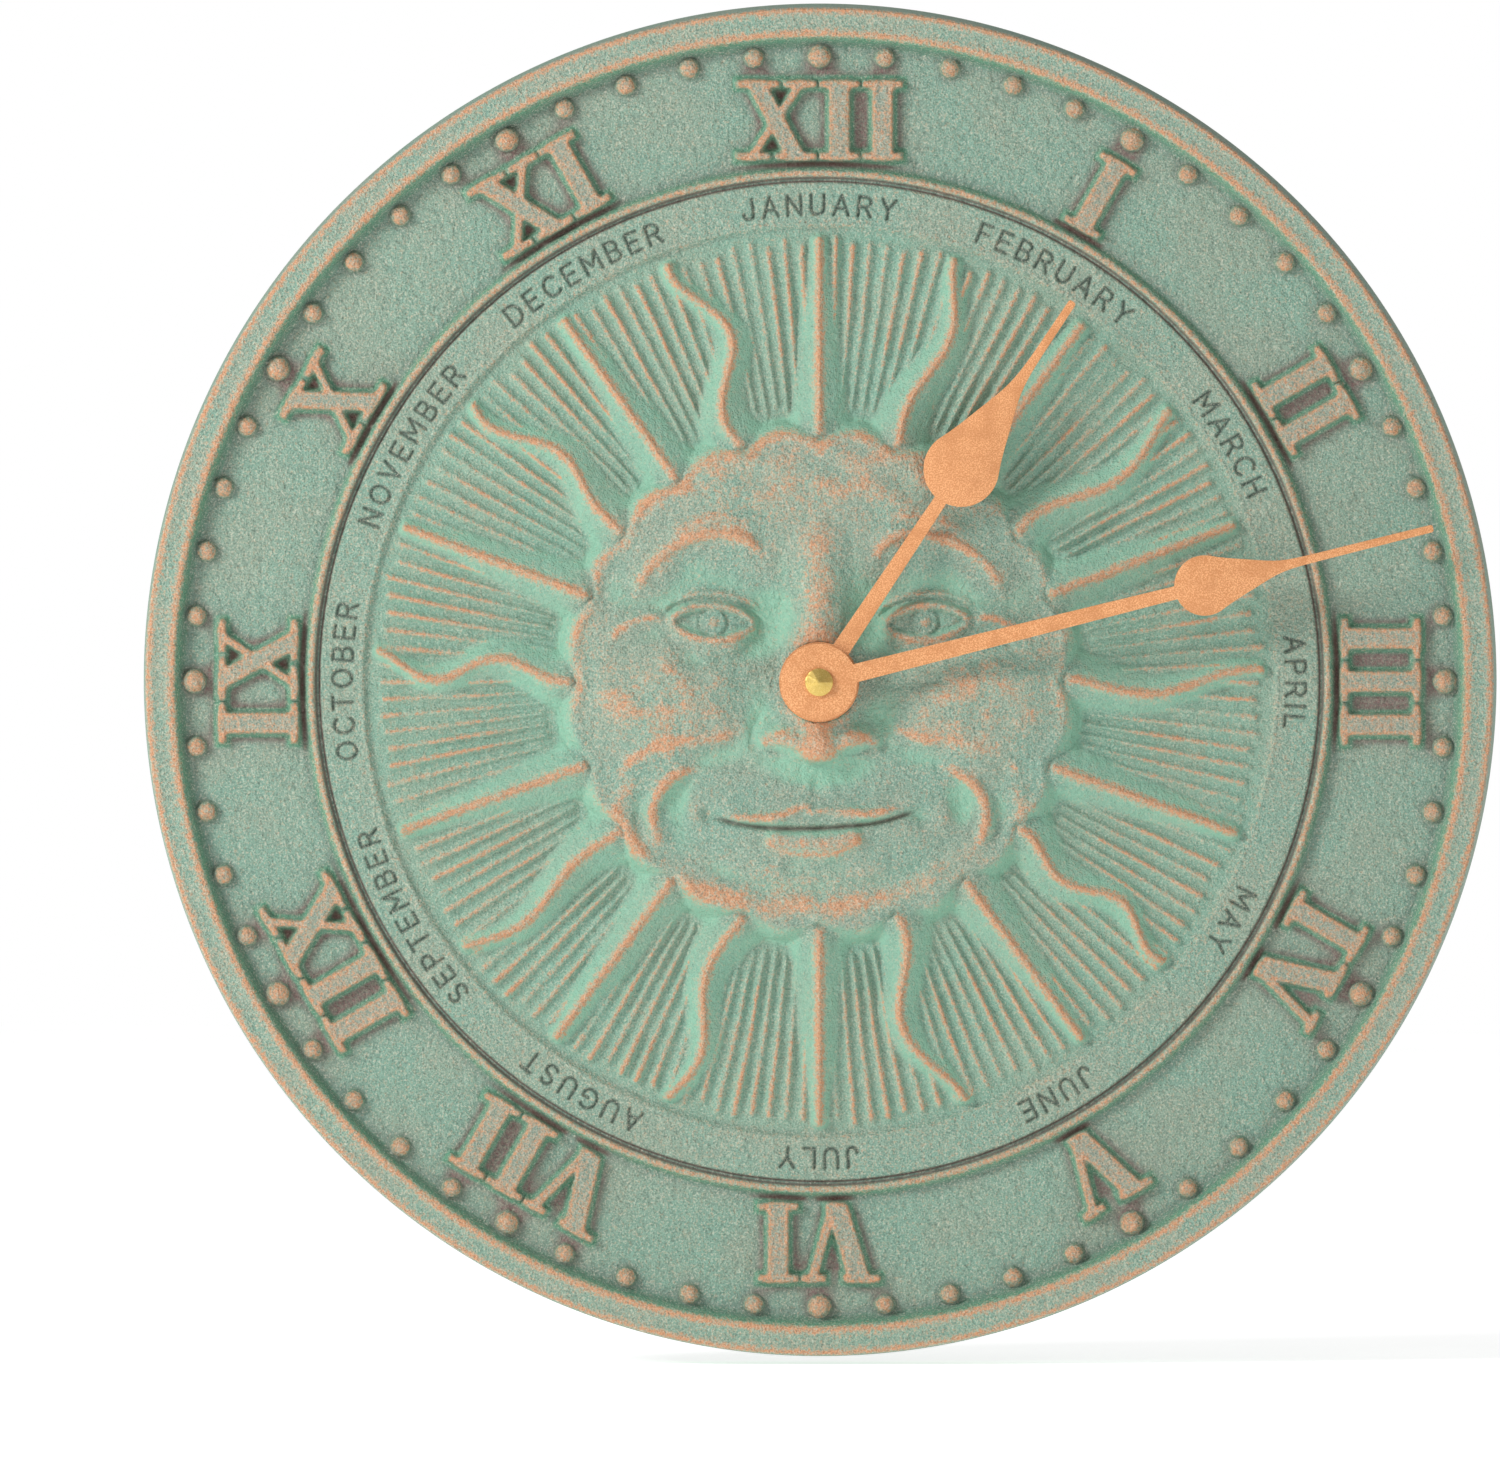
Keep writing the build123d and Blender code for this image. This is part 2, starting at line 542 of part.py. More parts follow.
with BuildPart() as hex_nut:
    with BuildSketch(dial_plane(SPOT_FACE_T + FRONT_WASHER_THICKNESS)):
        RegularPolygon(NUT_ACROSS_FLATS / 2, 6, major_radius=False)
        Circle(BUSH_R, mode=Mode.SUBTRACT)
    extrude(amount=NUT_HEIGHT)
save(hex_nut, "hex_nut")


# ---- motion work and hands' shafts -------------------------------------------------------------------------
with BuildPart() as minute_arbor:
    disc(REAR_PIVOT_T, 5.9, 0.8)
    disc(5.9, CANNON_LAYER[0] + 0.1, ARBOR_SHAFT_R)
    disc(10.0, 10.6, ARBOR_FLANGE_R)
    spur(CANNON_TEETH, MOTION_MODULE, CANNON_LAYER, CENTRE, CANNON_PHASE)
    disc(CANNON_LAYER[1] - 0.1, MINUTE_HAND_T + HAND_THICKNESS, ARBOR_R)
    disc(MINUTE_HAND_T, 34.6, THREAD_R)
save(minute_arbor, "minute_arbor")

with BuildPart() as clutch_spring:
    with BuildSketch(Plane.XY):
        with BuildLine():
            Polyline((1.3, -13.65), (1.9, -13.65), (2.7, -12.35), (2.7, -12.05), (2.35, -12.05), (1.3, -13.35),
                     close=True)
        make_face()
    revolve(axis=Axis.Y)
save(clutch_spring, "clutch_spring")

with BuildPart() as motion_wheel:
    spur(MOTION_TEETH, MOTION_MODULE, MOTION_LAYER, MOTION, MOTION_PHASE)
    spur(MOTION_PINION_TEETH, HOUR_MODULE, MOTION_PINION_LAYER, MOTION, MOTION_PINION_PHASE)
    disc(12.55, FRONT_PIVOT_T, PIVOT_R, x=MOTION[0], z=MOTION[1])
save(motion_wheel, "motion_wheel")

with BuildPart() as hour_wheel:
    spur(HOUR_TEETH, HOUR_MODULE, HOUR_LAYER, CENTRE, HOUR_PHASE, hole=PIPE_BORE_R)
    disc(HOUR_LAYER[0] - 0.1, PIPE_END_T, PIPE_R, hole=PIPE_BORE_R)
save(hour_wheel, "hour_wheel")

with BuildPart() as setting_arbor:
    spur(SETTING_TEETH, MOTION_MODULE, CANNON_LAYER, SETTING, SETTING_PHASE)
    disc(KNOB_LAYER[1], CANNON_LAYER[0] + 0.1, SETTING_SHAFT_R, x=SETTING[0], z=SETTING[1])
    disc(CANNON_LAYER[1] - 0.1, FRONT_PIVOT_T, PIVOT_R, x=SETTING[0], z=SETTING[1])
save(setting_arbor, "setting_arbor")

with BuildPart() as setting_knob:
    with BuildSketch(dial_plane(KNOB_LAYER[0], x=SETTING[0], z=SETTING[1])):
        Circle(KNOB_R)
        with PolarLocations(KNOB_R + 0.15, 24):
            Circle(0.3, mode=Mode.SUBTRACT)
    extrude(amount=KNOB_LAYER[1] - KNOB_LAYER[0])
save(setting_knob, "setting_knob")


# ---- going train -------------------------------------------------------------------------------------------
with BuildPart() as centre_wheel:
    spur(CENTRE_TEETH, CENTRE_MODULE, CENTRE_LAYER, CENTRE, CENTRE_PHASE, hole=CENTRE_WHEEL_BORE_R)
    disc(CENTRE_HUB_LAYER[0], CENTRE_HUB_LAYER[1], 2.2, hole=CENTRE_WHEEL_BORE_R)
save(centre_wheel, "centre_wheel")

with BuildPart() as third_wheel:
    spur(PINION_TEETH, CENTRE_MODULE, THIRD_PINION_LAYER, THIRD, THIRD_PINION_PHASE)
    spur(THIRD_TEETH, THIRD_MODULE, THIRD_LAYER, THIRD, THIRD_PHASE)
    disc(REAR_PIVOT_T, PLATE_PIVOT_T, PIVOT_R, x=THIRD[0], z=THIRD[1])
save(third_wheel, "third_wheel")

with BuildPart() as seconds_wheel:
    spur(PINION_TEETH, THIRD_MODULE, SECONDS_PINION_LAYER, SECONDS, SECONDS_PINION_PHASE)
    spur(SECONDS_TEETH, SECONDS_MODULE, SECONDS_LAYER, SECONDS, SECONDS_PHASE)
    disc(REAR_PIVOT_T, PLATE_PIVOT_T, PIVOT_R, x=SECONDS[0], z=SECONDS[1])
save(seconds_wheel, "seconds_wheel")

with BuildPart() as intermediate_wheel:
    spur(INTERMEDIATE_TEETH, ROTOR_MODULE, INTERMEDIATE_LAYER, INTERMEDIATE, INTERMEDIATE_PHASE)
    spur(PINION_TEETH, SECONDS_MODULE, INTERMEDIATE_PINION_LAYER, INTERMEDIATE, INTERMEDIATE_PINION_PHASE)
    disc(REAR_PIVOT_T, PLATE_PIVOT_T, PIVOT_R, x=INTERMEDIATE[0], z=INTERMEDIATE[1])
save(intermediate_wheel, "intermediate_wheel")

with BuildPart() as rotor:
    spur(PINION_TEETH, ROTOR_MODULE, ROTOR_PINION_LAYER, ROTOR, ROTOR_PINION_PHASE)
    disc(REAR_PIVOT_T, PLATE_PIVOT_T, PIVOT_R, x=ROTOR[0], z=ROTOR[1])
    disc(ROTOR_HUB_LAYER[0], ROTOR_HUB_LAYER[1], 1.0, x=ROTOR[0], z=ROTOR[1])
save(rotor, "rotor")

with BuildPart() as rotor_magnet:
    disc(MAGNET_LAYER[0], MAGNET_LAYER[1], MAGNET_R, x=ROTOR[0], z=ROTOR[1], hole=PIVOT_R)
save(rotor_magnet, "rotor_magnet")


# ---- motor and circuit -------------------------------------------------------------------------------------
STATOR_T = (8.0, 9.0)
CORE_Z = 20.0
CORE_WIDTH = 2.8
COIL_X = (7.5, 21.0)

with BuildPart() as stator_core:
    with BuildSketch(dial_plane(STATOR_T[0])):
        with Locations(ROTOR):
            Circle(3.6)
        with Locations((22.9, (ROTOR[1] + CORE_Z + CORE_WIDTH / 2) / 2)):
            Rectangle(3.2, CORE_Z + CORE_WIDTH / 2 - ROTOR[1])
        with BuildLine():
            Polyline((16.9, 12.6), (18.4, 13.6), (7.2, 16.9), (7.2, 21.4), (4.2, 21.4), (4.2, 15.4),
                     close=True)
        make_face()
        with Locations((14.35, CORE_Z)):
            Rectangle(20.3, CORE_WIDTH)
        with Locations(ROTOR):
            Circle(2.5, mode=Mode.SUBTRACT)
    extrude(amount=STATOR_T[1] - STATOR_T[0])
save(stator_core, "stator_core")


def along_x(x, r, length, hole=0.0):
    """A round bar or tube along X, centred on the coil's core, starting at x."""
    middle_t = sum(STATOR_T) / 2
    with BuildSketch(Plane(origin=(x, -middle_t, CORE_Z), x_dir=(0, -1, 0), z_dir=(1, 0, 0))) as outline:
        Circle(r)
        if hole:
            Circle(hole, mode=Mode.SUBTRACT)
    extrude(outline.sketch, amount=length)


with BuildPart() as coil_bobbin:
    along_x(COIL_X[0], 1.75, COIL_X[1] - COIL_X[0])
    along_x(COIL_X[0], 2.7, 0.8)
    along_x(COIL_X[1] - 0.8, 2.7, 0.8)
    with BuildSketch(dial_plane(STATOR_T[0], x=sum(COIL_X) / 2, z=CORE_Z)):
        Rectangle(COIL_X[1] - COIL_X[0] + 2, CORE_WIDTH)
    extrude(amount=STATOR_T[1] - STATOR_T[0], mode=Mode.SUBTRACT)
save(coil_bobbin, "coil_bobbin")

with BuildPart() as coil_winding:
    along_x(COIL_X[0] + 0.8, 2.5, COIL_X[1] - COIL_X[0] - 1.6, hole=1.75)
save(coil_winding, "coil_winding")

with BuildPart() as circuit_board:
    with BuildSketch(dial_plane(BOARD_T[0], x=-11.5, z=21.75)):
        Rectangle(25, 8.5)
    extrude(amount=BOARD_T[1] - BOARD_T[0])
save(circuit_board, "circuit_board")

with BuildPart() as control_chip:
    with BuildSketch(dial_plane(BOARD_T[1], x=-15, z=21)):
        Circle(2.8)
    extrude(amount=1.0)
    fillet(control_chip.faces().sort_by(Axis.Y)[0].edges(), 0.7)
save(control_chip, "control_chip")

with BuildPart() as quartz_crystal:
    with BuildSketch(Plane(origin=(-9.5, -BOARD_T[1] - 1.0, 20.0), x_dir=(0, -1, 0), z_dir=(1, 0, 0))):
        Circle(1.0)
    extrude(amount=6.0)
save(quartz_crystal, "quartz_crystal")


# ---- battery -----------------------------------------------------------------------------------------------
with BuildPart() as battery:
    with BuildSketch(Plane(origin=(-24.4, -BATTERY_T, BATTERY_Z), x_dir=(0, -1, 0), z_dir=(1, 0, 0))):
        Circle(BATTERY_R)
    extrude(amount=BATTERY_LENGTH)
    fillet(battery.edges().filter_by(GeomType.CIRCLE), 0.6)
    with BuildSketch(Plane(origin=(24.7, -BATTERY_T, BATTERY_Z), x_dir=(0, -1, 0), z_dir=(1, 0, 0))):
        Circle(2.75)
    extrude(amount=1.4)
save(battery, "battery")

with BuildPart() as battery_contact_positive:
    with BuildSketch(dial_plane(6.5, x=26.3, z=BATTERY_Z)):
        Rectangle(0.4, 9.0)
    extrude(amount=9.0)
save(battery_contact_positive, "battery_contact_positive")

with BuildPart() as battery_contact_negative:
    with BuildSketch(Plane.XY.offset(BATTERY_Z - 3.0)):
        with BuildLine():
            Polyline((-26.5, -6.0), (-26.1, -6.0), (-24.4, -9.2), (-24.4, -11.8), (-26.1, -15.4),
                     (-26.5, -15.4), (-26.5, -14.8), (-26.3, -14.8), (-24.8, -11.6), (-24.8, -9.4),
                     (-26.3, -6.6), (-26.5, -6.6), close=True)
        make_face()
    extrude(amount=6.0)
save(battery_contact_negative, "battery_contact_negative")


# ---- hands -------------------------------------------------------------------------------------------------
def hand_outline(hub_r, bulb_y, bulb_r, length, tip_half):
    """A spade hand pointing along y in the open sketch: hub, tapering arm, round bulb and a thin tip."""
    start = (bulb_r * cos(radians(25)), bulb_y + bulb_r * sin(radians(25)))
    reach = bulb_r / 8.5
    side = [start, (4.1 * reach, bulb_y + 13.8 * reach), (2.0 * reach, bulb_y + 20.7 * reach),
            (tip_half + 0.1, bulb_y + 31 * reach)]
    Circle(hub_r)
    with Locations((0, bulb_y)):
        Circle(bulb_r)
    with BuildLine() as arm:
        Polyline((-ARM_HALF_AT_HUB, 0), (ARM_HALF_AT_HUB, 0), (ARM_HALF_AT_BULB, bulb_y - bulb_r + 1),
                 (-ARM_HALF_AT_BULB, bulb_y - bulb_r + 1), close=True)
    make_face(arm.edges())
    with BuildLine() as tip:
        Line((-start[0], start[1]), start)
        Spline(side, tangents=((-0.42, 0.91), (-0.02, 1)))
        Polyline(side[-1], (tip_half, length - 0.4), (tip_half - 0.3, length), (0.3 - tip_half, length),
                 (-tip_half, length - 0.4), (-side[-1][0], side[-1][1]))
        Spline([(-x, y) for x, y in side], tangents=((0.42, 0.91), (0.02, 1)))
    make_face(tip.edges())


with BuildPart() as hour_hand:
    with BuildSketch(dial_plane(HOUR_HAND_T, HOUR_ANGLE)):
        hand_outline(HOUR_HUB_R, HOUR_BULB[0], HOUR_BULB[1], HOUR_HAND_LENGTH, 0.9)
        Circle(3.4, mode=Mode.SUBTRACT)
    extrude(amount=HAND_THICKNESS)
save(hour_hand, "hour_hand")

with BuildPart() as hour_hand_collet:
    disc(HOUR_HAND_T - 0.4, HOUR_HAND_T, 4.4, hole=PIPE_R)
    disc(HOUR_HAND_T - 0.4, PIPE_END_T, 3.4, hole=PIPE_R)
save(hour_hand_collet, "hour_hand_collet")

with BuildPart() as minute_hand:
    with BuildSketch(dial_plane(MINUTE_HAND_T, MINUTE_ANGLE)):
        hand_outline(HUB_R, MINUTE_BULB[0], MINUTE_BULB[1], MINUTE_HAND_LENGTH, 0.85)
        Circle(2.3, mode=Mode.SUBTRACT)
    extrude(amount=HAND_THICKNESS)
save(minute_hand, "minute_hand")

with BuildPart() as minute_hand_collet:
    disc(MINUTE_HAND_T - 0.5, MINUTE_HAND_T, 3.6, hole=ARBOR_R)
    disc(MINUTE_HAND_T - 0.5, MINUTE_HAND_T + HAND_THICKNESS, 2.3, hole=ARBOR_R)
save(minute_hand_collet, "minute_hand_collet")

with BuildPart() as hand_nut:
    base_t = MINUTE_HAND_T + HAND_THICKNESS
    with BuildSketch(Plane.XY):
        with BuildLine():
            Polyline((THREAD_R, -base_t), (CAP_NUT_R, -base_t), (CAP_NUT_R, -base_t - 0.7),
                     (0.25, -CAP_NUT_END_T), (0, -CAP_NUT_END_T), (0, -34.65), (THREAD_R, -34.65), close=True)
        make_face()
    revolve(axis=Axis.Y)
save(hand_nut, "hand_nut")
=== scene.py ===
import json
from functools import partial
from math import atan2, ceil, cos, degrees, hypot, pi, radians, sin

import bmesh
import bpy
import numpy as np
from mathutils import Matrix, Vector


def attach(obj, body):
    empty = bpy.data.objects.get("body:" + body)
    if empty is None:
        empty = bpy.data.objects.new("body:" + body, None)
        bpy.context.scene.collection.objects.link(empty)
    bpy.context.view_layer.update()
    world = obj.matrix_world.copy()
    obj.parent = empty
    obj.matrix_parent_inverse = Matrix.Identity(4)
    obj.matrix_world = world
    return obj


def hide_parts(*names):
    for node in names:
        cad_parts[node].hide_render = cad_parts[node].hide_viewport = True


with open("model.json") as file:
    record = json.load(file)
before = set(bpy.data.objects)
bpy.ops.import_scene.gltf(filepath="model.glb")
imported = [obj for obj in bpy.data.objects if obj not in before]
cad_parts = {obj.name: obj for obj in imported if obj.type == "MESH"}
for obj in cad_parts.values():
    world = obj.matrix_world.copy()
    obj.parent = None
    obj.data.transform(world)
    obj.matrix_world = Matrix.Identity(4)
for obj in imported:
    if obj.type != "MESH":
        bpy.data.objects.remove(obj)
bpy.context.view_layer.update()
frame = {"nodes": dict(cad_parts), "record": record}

# The visual model of a cast garden wall clock. The relief is worked out in millimetres: x to the right, z up,
# and t the height in front of the wall, so a point of the mesh is (x, -t, z) / 1000. Angles on the dial run
# clockwise from 12.
MM = 0.001

# ---- sizes of the casting, in millimetres ----
DIAL_R = 152.4
SUNBURST_T = 20.5
MONTH_RING_T = 21.5
CHANNEL_T = 20.0
RIM_T = 24.0
SHAFT_HOLE_R = 4.2
SPOT_FACE_R = 8.0
SPOT_FACE_T = 26.0
FACE_PIECE_R = 59.5
SUNBURST_END_R = 102.3
GROOVE_R = 112.8
GROOVE_HALF_WIDTH = 0.4
CHANNEL_END_R = 144.6
RELIEF_BACK_T = 19.0
PLATE_BACK_T = 16.8
PAD_T = 20.0
COLLAR_R = 46.0
COLLAR_WALL = 2.4
COLLAR_END_T = 9.0
SKIRT_INNER_R = 149.0

STRAIGHT_RAYS = [0, 36.4, 69.3, 110, 143.7, 180, 216.5, 250.3, 290.4, 324.8]
# Each wavy ray: its angle, then the mean offset and the sway of its crest in degrees, the radius where it
# sways furthest clockwise, and the length of one wave
WAVY_RAYS = [
    (18, 1.3, 1.6, 82, 38), (54, 0.0, 2.0, 81, 44), (90, 0.2, 1.9, 73, 48), (126, 1.7, 1.7, 70, 27),
    (162, 1.6, 2.9, 79, 44), (198, 1.4, 1.8, 69, 38), (234, -1.8, 1.5, 65, 40), (270, 2.2, 1.9, 72, 29),
    (306, 3.6, 1.9, 77, 34), (342, 0.8, 2.9, 80, 36),
]
RAY_ANGLES = sorted(STRAIGHT_RAYS + [ray[0] for ray in WAVY_RAYS])
RAY_START_R = 50.0
RAY_TIP_R = 100.6
RIB_COUNT = 160

NUMERALS = ["XII", "I", "II", "III", "IV", "V", "VI", "VII", "IIX", "IX", "X", "XI"]
NUMERAL_FOOT_R = 117.1
NUMERAL_HEIGHT = 18.1
NUMERAL_RAISE = 2.3
SERIF = 1.9
STEM = 5.0
LETTER_WIDTH = {"I": 9.7, "V": 18.5, "X": 18.7}

MONTHS = ["JANUARY", "FEBRUARY", "MARCH", "APRIL", "MAY", "JUNE",
          "JULY", "AUGUST", "SEPTEMBER", "OCTOBER", "NOVEMBER", "DECEMBER"]
MONTH_FOOT_R = 105.0
MONTH_HEIGHT = 4.4
MONTH_STROKE = 0.3
MONTH_DEPTH = 0.55


# ---- small shared functions ----
def smoothstep(x):
    x = np.clip(x, 0.0, 1.0)
    return x * x * (3 - 2 * x)


def smooth_max(a, b, k):
    """The larger of a and b, with a fillet of about k where they meet."""
    h = np.clip(0.5 + 0.5 * (a - b) / k, 0.0, 1.0)
    return b + (a - b) * h + k * h * (1 - h)


def turned(x, z, angle):
    """The points in a frame turned clockwise by angle: across, and outward from the dial's centre."""
    a = radians(angle)
    return x * cos(a) - z * sin(a), x * sin(a) + z * cos(a)


def between_cells(grid, i, j, fu, fv):
    """A grid's value between four neighbouring cells, at the shares fu and fv of the way across."""
    low = grid[j, i] * (1 - fu) + grid[j, i + 1] * fu
    high = grid[j + 1, i] * (1 - fu) + grid[j + 1, i + 1] * fu
    return low * (1 - fv) + high * fv


def value_noise(x, z, size, seed):
    """Smooth noise from -1 to 1 with lumps of about size millimetres."""
    rng = np.random.default_rng(seed)
    cells = 2 * ceil(170 / size) + 4
    grid = rng.uniform(-1, 1, (cells, cells))
    u = x / size + cells / 2
    v = z / size + cells / 2
    i = np.clip(np.floor(u).astype(int), 0, cells - 2)
    j = np.clip(np.floor(v).astype(int), 0, cells - 2)
    return between_cells(grid, i, j, smoothstep(u - i), smoothstep(v - j))


def curve_points(points, steps=6):
    """A smooth line through the points (Catmull-Rom), as an array."""
    p = np.array([points[0]] + list(points) + [points[-1]], float)
    out = []
    for k in range(1, len(p) - 2):
        for s in range(steps):
            t = s / steps
            a = 2 * p[k]
            b = p[k + 1] - p[k - 1]
            c = 2 * p[k - 1] - 5 * p[k] + 4 * p[k + 1] - p[k + 2]
            d = -p[k - 1] + 3 * p[k] - 3 * p[k + 1] + p[k + 2]
            out.append(0.5 * (a + b * t + c * t * t + d * t ** 3))
    out.append(p[-2])
    return np.array(out)


def line_distance(x, z, line):
    """Each point's distance to a line of points, and how far along it the nearest place is, from 0 to 1."""
    best = np.full(np.shape(x), 1e9)
    along = np.zeros(np.shape(x))
    lengths = np.hypot(*np.diff(line, axis=0).T)
    total = max(lengths.sum(), 1e-9)
    done = 0.0
    for (ax, az), (bx, bz), length in zip(line[:-1], line[1:], lengths):
        dx, dz = bx - ax, bz - az
        share = np.clip(((x - ax) * dx + (z - az) * dz) / max(length * length, 1e-12), 0, 1)
        d = np.hypot(x - ax - share * dx, z - az - share * dz)
        nearer = d < best
        best = np.where(nearer, d, best)
        along = np.where(nearer, (done + share * length) / total, along)
        done += length
    return best, along


# ---- the rings of the dial ----
RING_PROFILE = [
    (0, SUNBURST_T), (101.6, SUNBURST_T), (102.7, MONTH_RING_T), (112.1, MONTH_RING_T), (112.45, 20.7),
    (113.15, 20.7), (113.4, 21.7), (113.7, 22.3), (114.6, 22.3), (115.2, 21.7), (115.9, CHANNEL_T),
    (142.9, CHANNEL_T), (143.6, 21.2), (144.5, 23.4), (145.2, RIM_T), (146.2, RIM_T), (147.6, 23.8),
    (149.2, 23.8), (150.0, RIM_T), (150.5, RIM_T), (152.0, 23.2),
]


def ring_height(r):
    """The dial's stepped rings, with soft cast edges."""
    step = 0.05
    table_r = np.arange(0, 160, step)
    table_t = np.interp(table_r, [p[0] for p in RING_PROFILE], [p[1] for p in RING_PROFILE])
    reach = int(1.0 / step)
    kernel = np.exp(-0.5 * (np.arange(-reach, reach + 1) * step / 0.22) ** 2)
    soft = np.convolve(np.pad(table_t, reach, mode="edge"), kernel / kernel.sum(), mode="valid")
    return np.interp(r, table_r, soft)


# ---- Roman numerals ----
def bar(x_left, x_right, y_low, y_high):
    return [(x_left, y_low), (x_right, y_low), (x_right, y_high), (x_left, y_high)]


def slant(x_low, x_high, width):
    w = width / 2
    return [(x_low - w, 0), (x_low + w, 0), (x_high + w, NUMERAL_HEIGHT), (x_high - w, NUMERAL_HEIGHT)]


def letter_shapes(letter):
    """The convex outlines, counter-clockwise, that make up one numeral letter, centred on x = 0."""
    top, foot = NUMERAL_HEIGHT - SERIF, SERIF
    if letter == "I":
        half = LETTER_WIDTH["I"] / 2 - 0.15
        return [bar(-STEM / 2, STEM / 2, 0, NUMERAL_HEIGHT), bar(-half, half, 0, foot),
                bar(-half, half, top, NUMERAL_HEIGHT)]
    if letter == "V":
        return [slant(1.2, -4.4, 5.4), slant(1.6, 6.6, 2.4), bar(-9.1, -0.2, top, NUMERAL_HEIGHT),
                bar(3.2, 9.1, top, NUMERAL_HEIGHT)]
    return [slant(4.9, -4.9, 5.0), slant(-6.0, 6.0, 2.4), bar(-9.2, 0.85, top, NUMERAL_HEIGHT),
            bar(1.5, 9.2, top, NUMERAL_HEIGHT), bar(-9.2, -1.1, 0, foot), bar(-0.4, 9.2, 0, foot)]


def convex_distance(x, y, outline):
    """The signed distance to a convex outline with softened corners, near enough: negative inside."""
    best = np.full(np.shape(x), -99.0)
    for (ax, ay), (bx, by) in zip(outline, outline[1:] + outline[:1]):
        length = np.hypot(bx - ax, by - ay)
        best = smooth_max(((x - ax) * (by - ay) - (y - ay) * (bx - ax)) / length, best, 0.7)
    return best


def numeral_distance(x, z):
    """The signed distance to the nearest numeral, and 1 in the small counters of each X, fading to 0."""
    distance = np.full(np.shape(x), 99.0)
    counter = np.zeros(np.shape(x))
    for hour, word in enumerate(NUMERALS):
        across, out = turned(x, z, 30 * hour)
        up = out - NUMERAL_FOOT_R
        half = sum(LETTER_WIDTH[c] for c in word) / 2
        near = (np.abs(across) < half + 12) & (up > -14) & (up < NUMERAL_HEIGHT + 12)
        if not near.any():
            continue
        place = -half
        a, u = across[near], up[near]
        word_distance = np.full(a.shape, 99.0)
        word_counter = np.zeros(a.shape)
        for c in word:
            centre = place + LETTER_WIDTH[c] / 2
            letter = np.full(a.shape, 99.0)
            for outline in letter_shapes(c):
                letter = -smooth_max(-letter, -convex_distance(a - centre, u, outline), 1.0)
            word_distance = np.minimum(word_distance, letter)
            for end in ((-1, 1) if c == "X" else ()):
                d = np.hypot(a - centre - 1.1 * end, u - NUMERAL_HEIGHT / 2 - 5.6 * end)
                word_counter = np.maximum(word_counter, np.exp(-(d / 2.4) ** 4))
            place += LETTER_WIDTH[c]
        distance[near] = np.minimum(distance[near], word_distance)
        counter[near] = np.maximum(counter[near], word_counter)
    return distance, counter


# ---- month names ----
def arc(cx, cy, rx, ry, start, end, steps=8):
    """Points along an ellipse's arc, angles in degrees counter-clockwise from the right."""
    angles = np.radians(np.linspace(start, end, steps + 1))
    return [(cx + rx * cos(a), cy + ry * sin(a)) for a in angles]


# Plain block letters as single strokes, in letter heights: a width, then the strokes
STROKES = {
    "A": (0.74, [[(0, 0), (0.37, 1), (0.74, 0)], [(0.12, 0.33), (0.62, 0.33)]]),
    "B": (0.62, [[(0, 0), (0, 1), (0.34, 1)] + arc(0.34, 0.76, 0.24, 0.24, 90, -90)
                 + [(0, 0.52), (0.36, 0.52)] + arc(0.36, 0.26, 0.27, 0.26, 90, -90) + [(0, 0)]]),
    "C": (0.72, [arc(0.42, 0.5, 0.42, 0.5, 45, 315, 14)]),
    "D": (0.7, [[(0, 0), (0, 1), (0.28, 1)] + arc(0.28, 0.5, 0.42, 0.5, 90, -90, 12) + [(0, 0)]]),
    "E": (0.58, [[(0.58, 0), (0, 0), (0, 1), (0.58, 1)], [(0, 0.52), (0.5, 0.52)]]),
    "F": (0.56, [[(0, 0), (0, 1), (0.56, 1)], [(0, 0.52), (0.48, 0.52)]]),
    "G": (0.76, [arc(0.42, 0.5, 0.42, 0.5, 45, 330, 14) + [(0.78, 0.45), (0.46, 0.45)]]),
    "H": (0.66, [[(0, 0), (0, 1)], [(0.66, 0), (0.66, 1)], [(0, 0.52), (0.66, 0.52)]]),
    "I": (0.02, [[(0.01, 0), (0.01, 1)]]),
    "J": (0.5, [[(0.5, 1), (0.5, 0.26)] + arc(0.25, 0.26, 0.25, 0.26, 0, -180)]),
    "L": (0.52, [[(0, 1), (0, 0), (0.52, 0)]]),
    "M": (0.84, [[(0, 0), (0, 1), (0.42, 0.3), (0.84, 1), (0.84, 0)]]),
    "N": (0.68, [[(0, 0), (0, 1), (0.68, 0), (0.68, 1)]]),
    "O": (0.82, [arc(0.41, 0.5, 0.41, 0.5, 0, 360, 18)]),
    "P": (0.6, [[(0, 0), (0, 1), (0.32, 1)] + arc(0.32, 0.73, 0.28, 0.27, 90, -90) + [(0, 0.46)]]),
    "R": (0.64, [[(0, 0), (0, 1), (0.34, 1)] + arc(0.34, 0.74, 0.27, 0.26, 90, -90) + [(0, 0.48)],
                 [(0.36, 0.48), (0.64, 0)]]),
    "S": (0.6, [arc(0.31, 0.75, 0.27, 0.25, 30, 270) + arc(0.3, 0.25, 0.3, 0.25, 90, -150)]),
    "T": (0.62, [[(0, 1), (0.62, 1)], [(0.31, 1), (0.31, 0)]]),
    "U": (0.66, [[(0, 1), (0, 0.33)] + arc(0.33, 0.33, 0.33, 0.33, 180, 360) + [(0.66, 1)]]),
    "V": (0.7, [[(0, 1), (0.35, 0), (0.7, 1)]]),
    "Y": (0.7, [[(0, 1), (0.35, 0.5), (0.7, 1)], [(0.35, 0.5), (0.35, 0)]]),
}
LETTER_GAP = 0.52


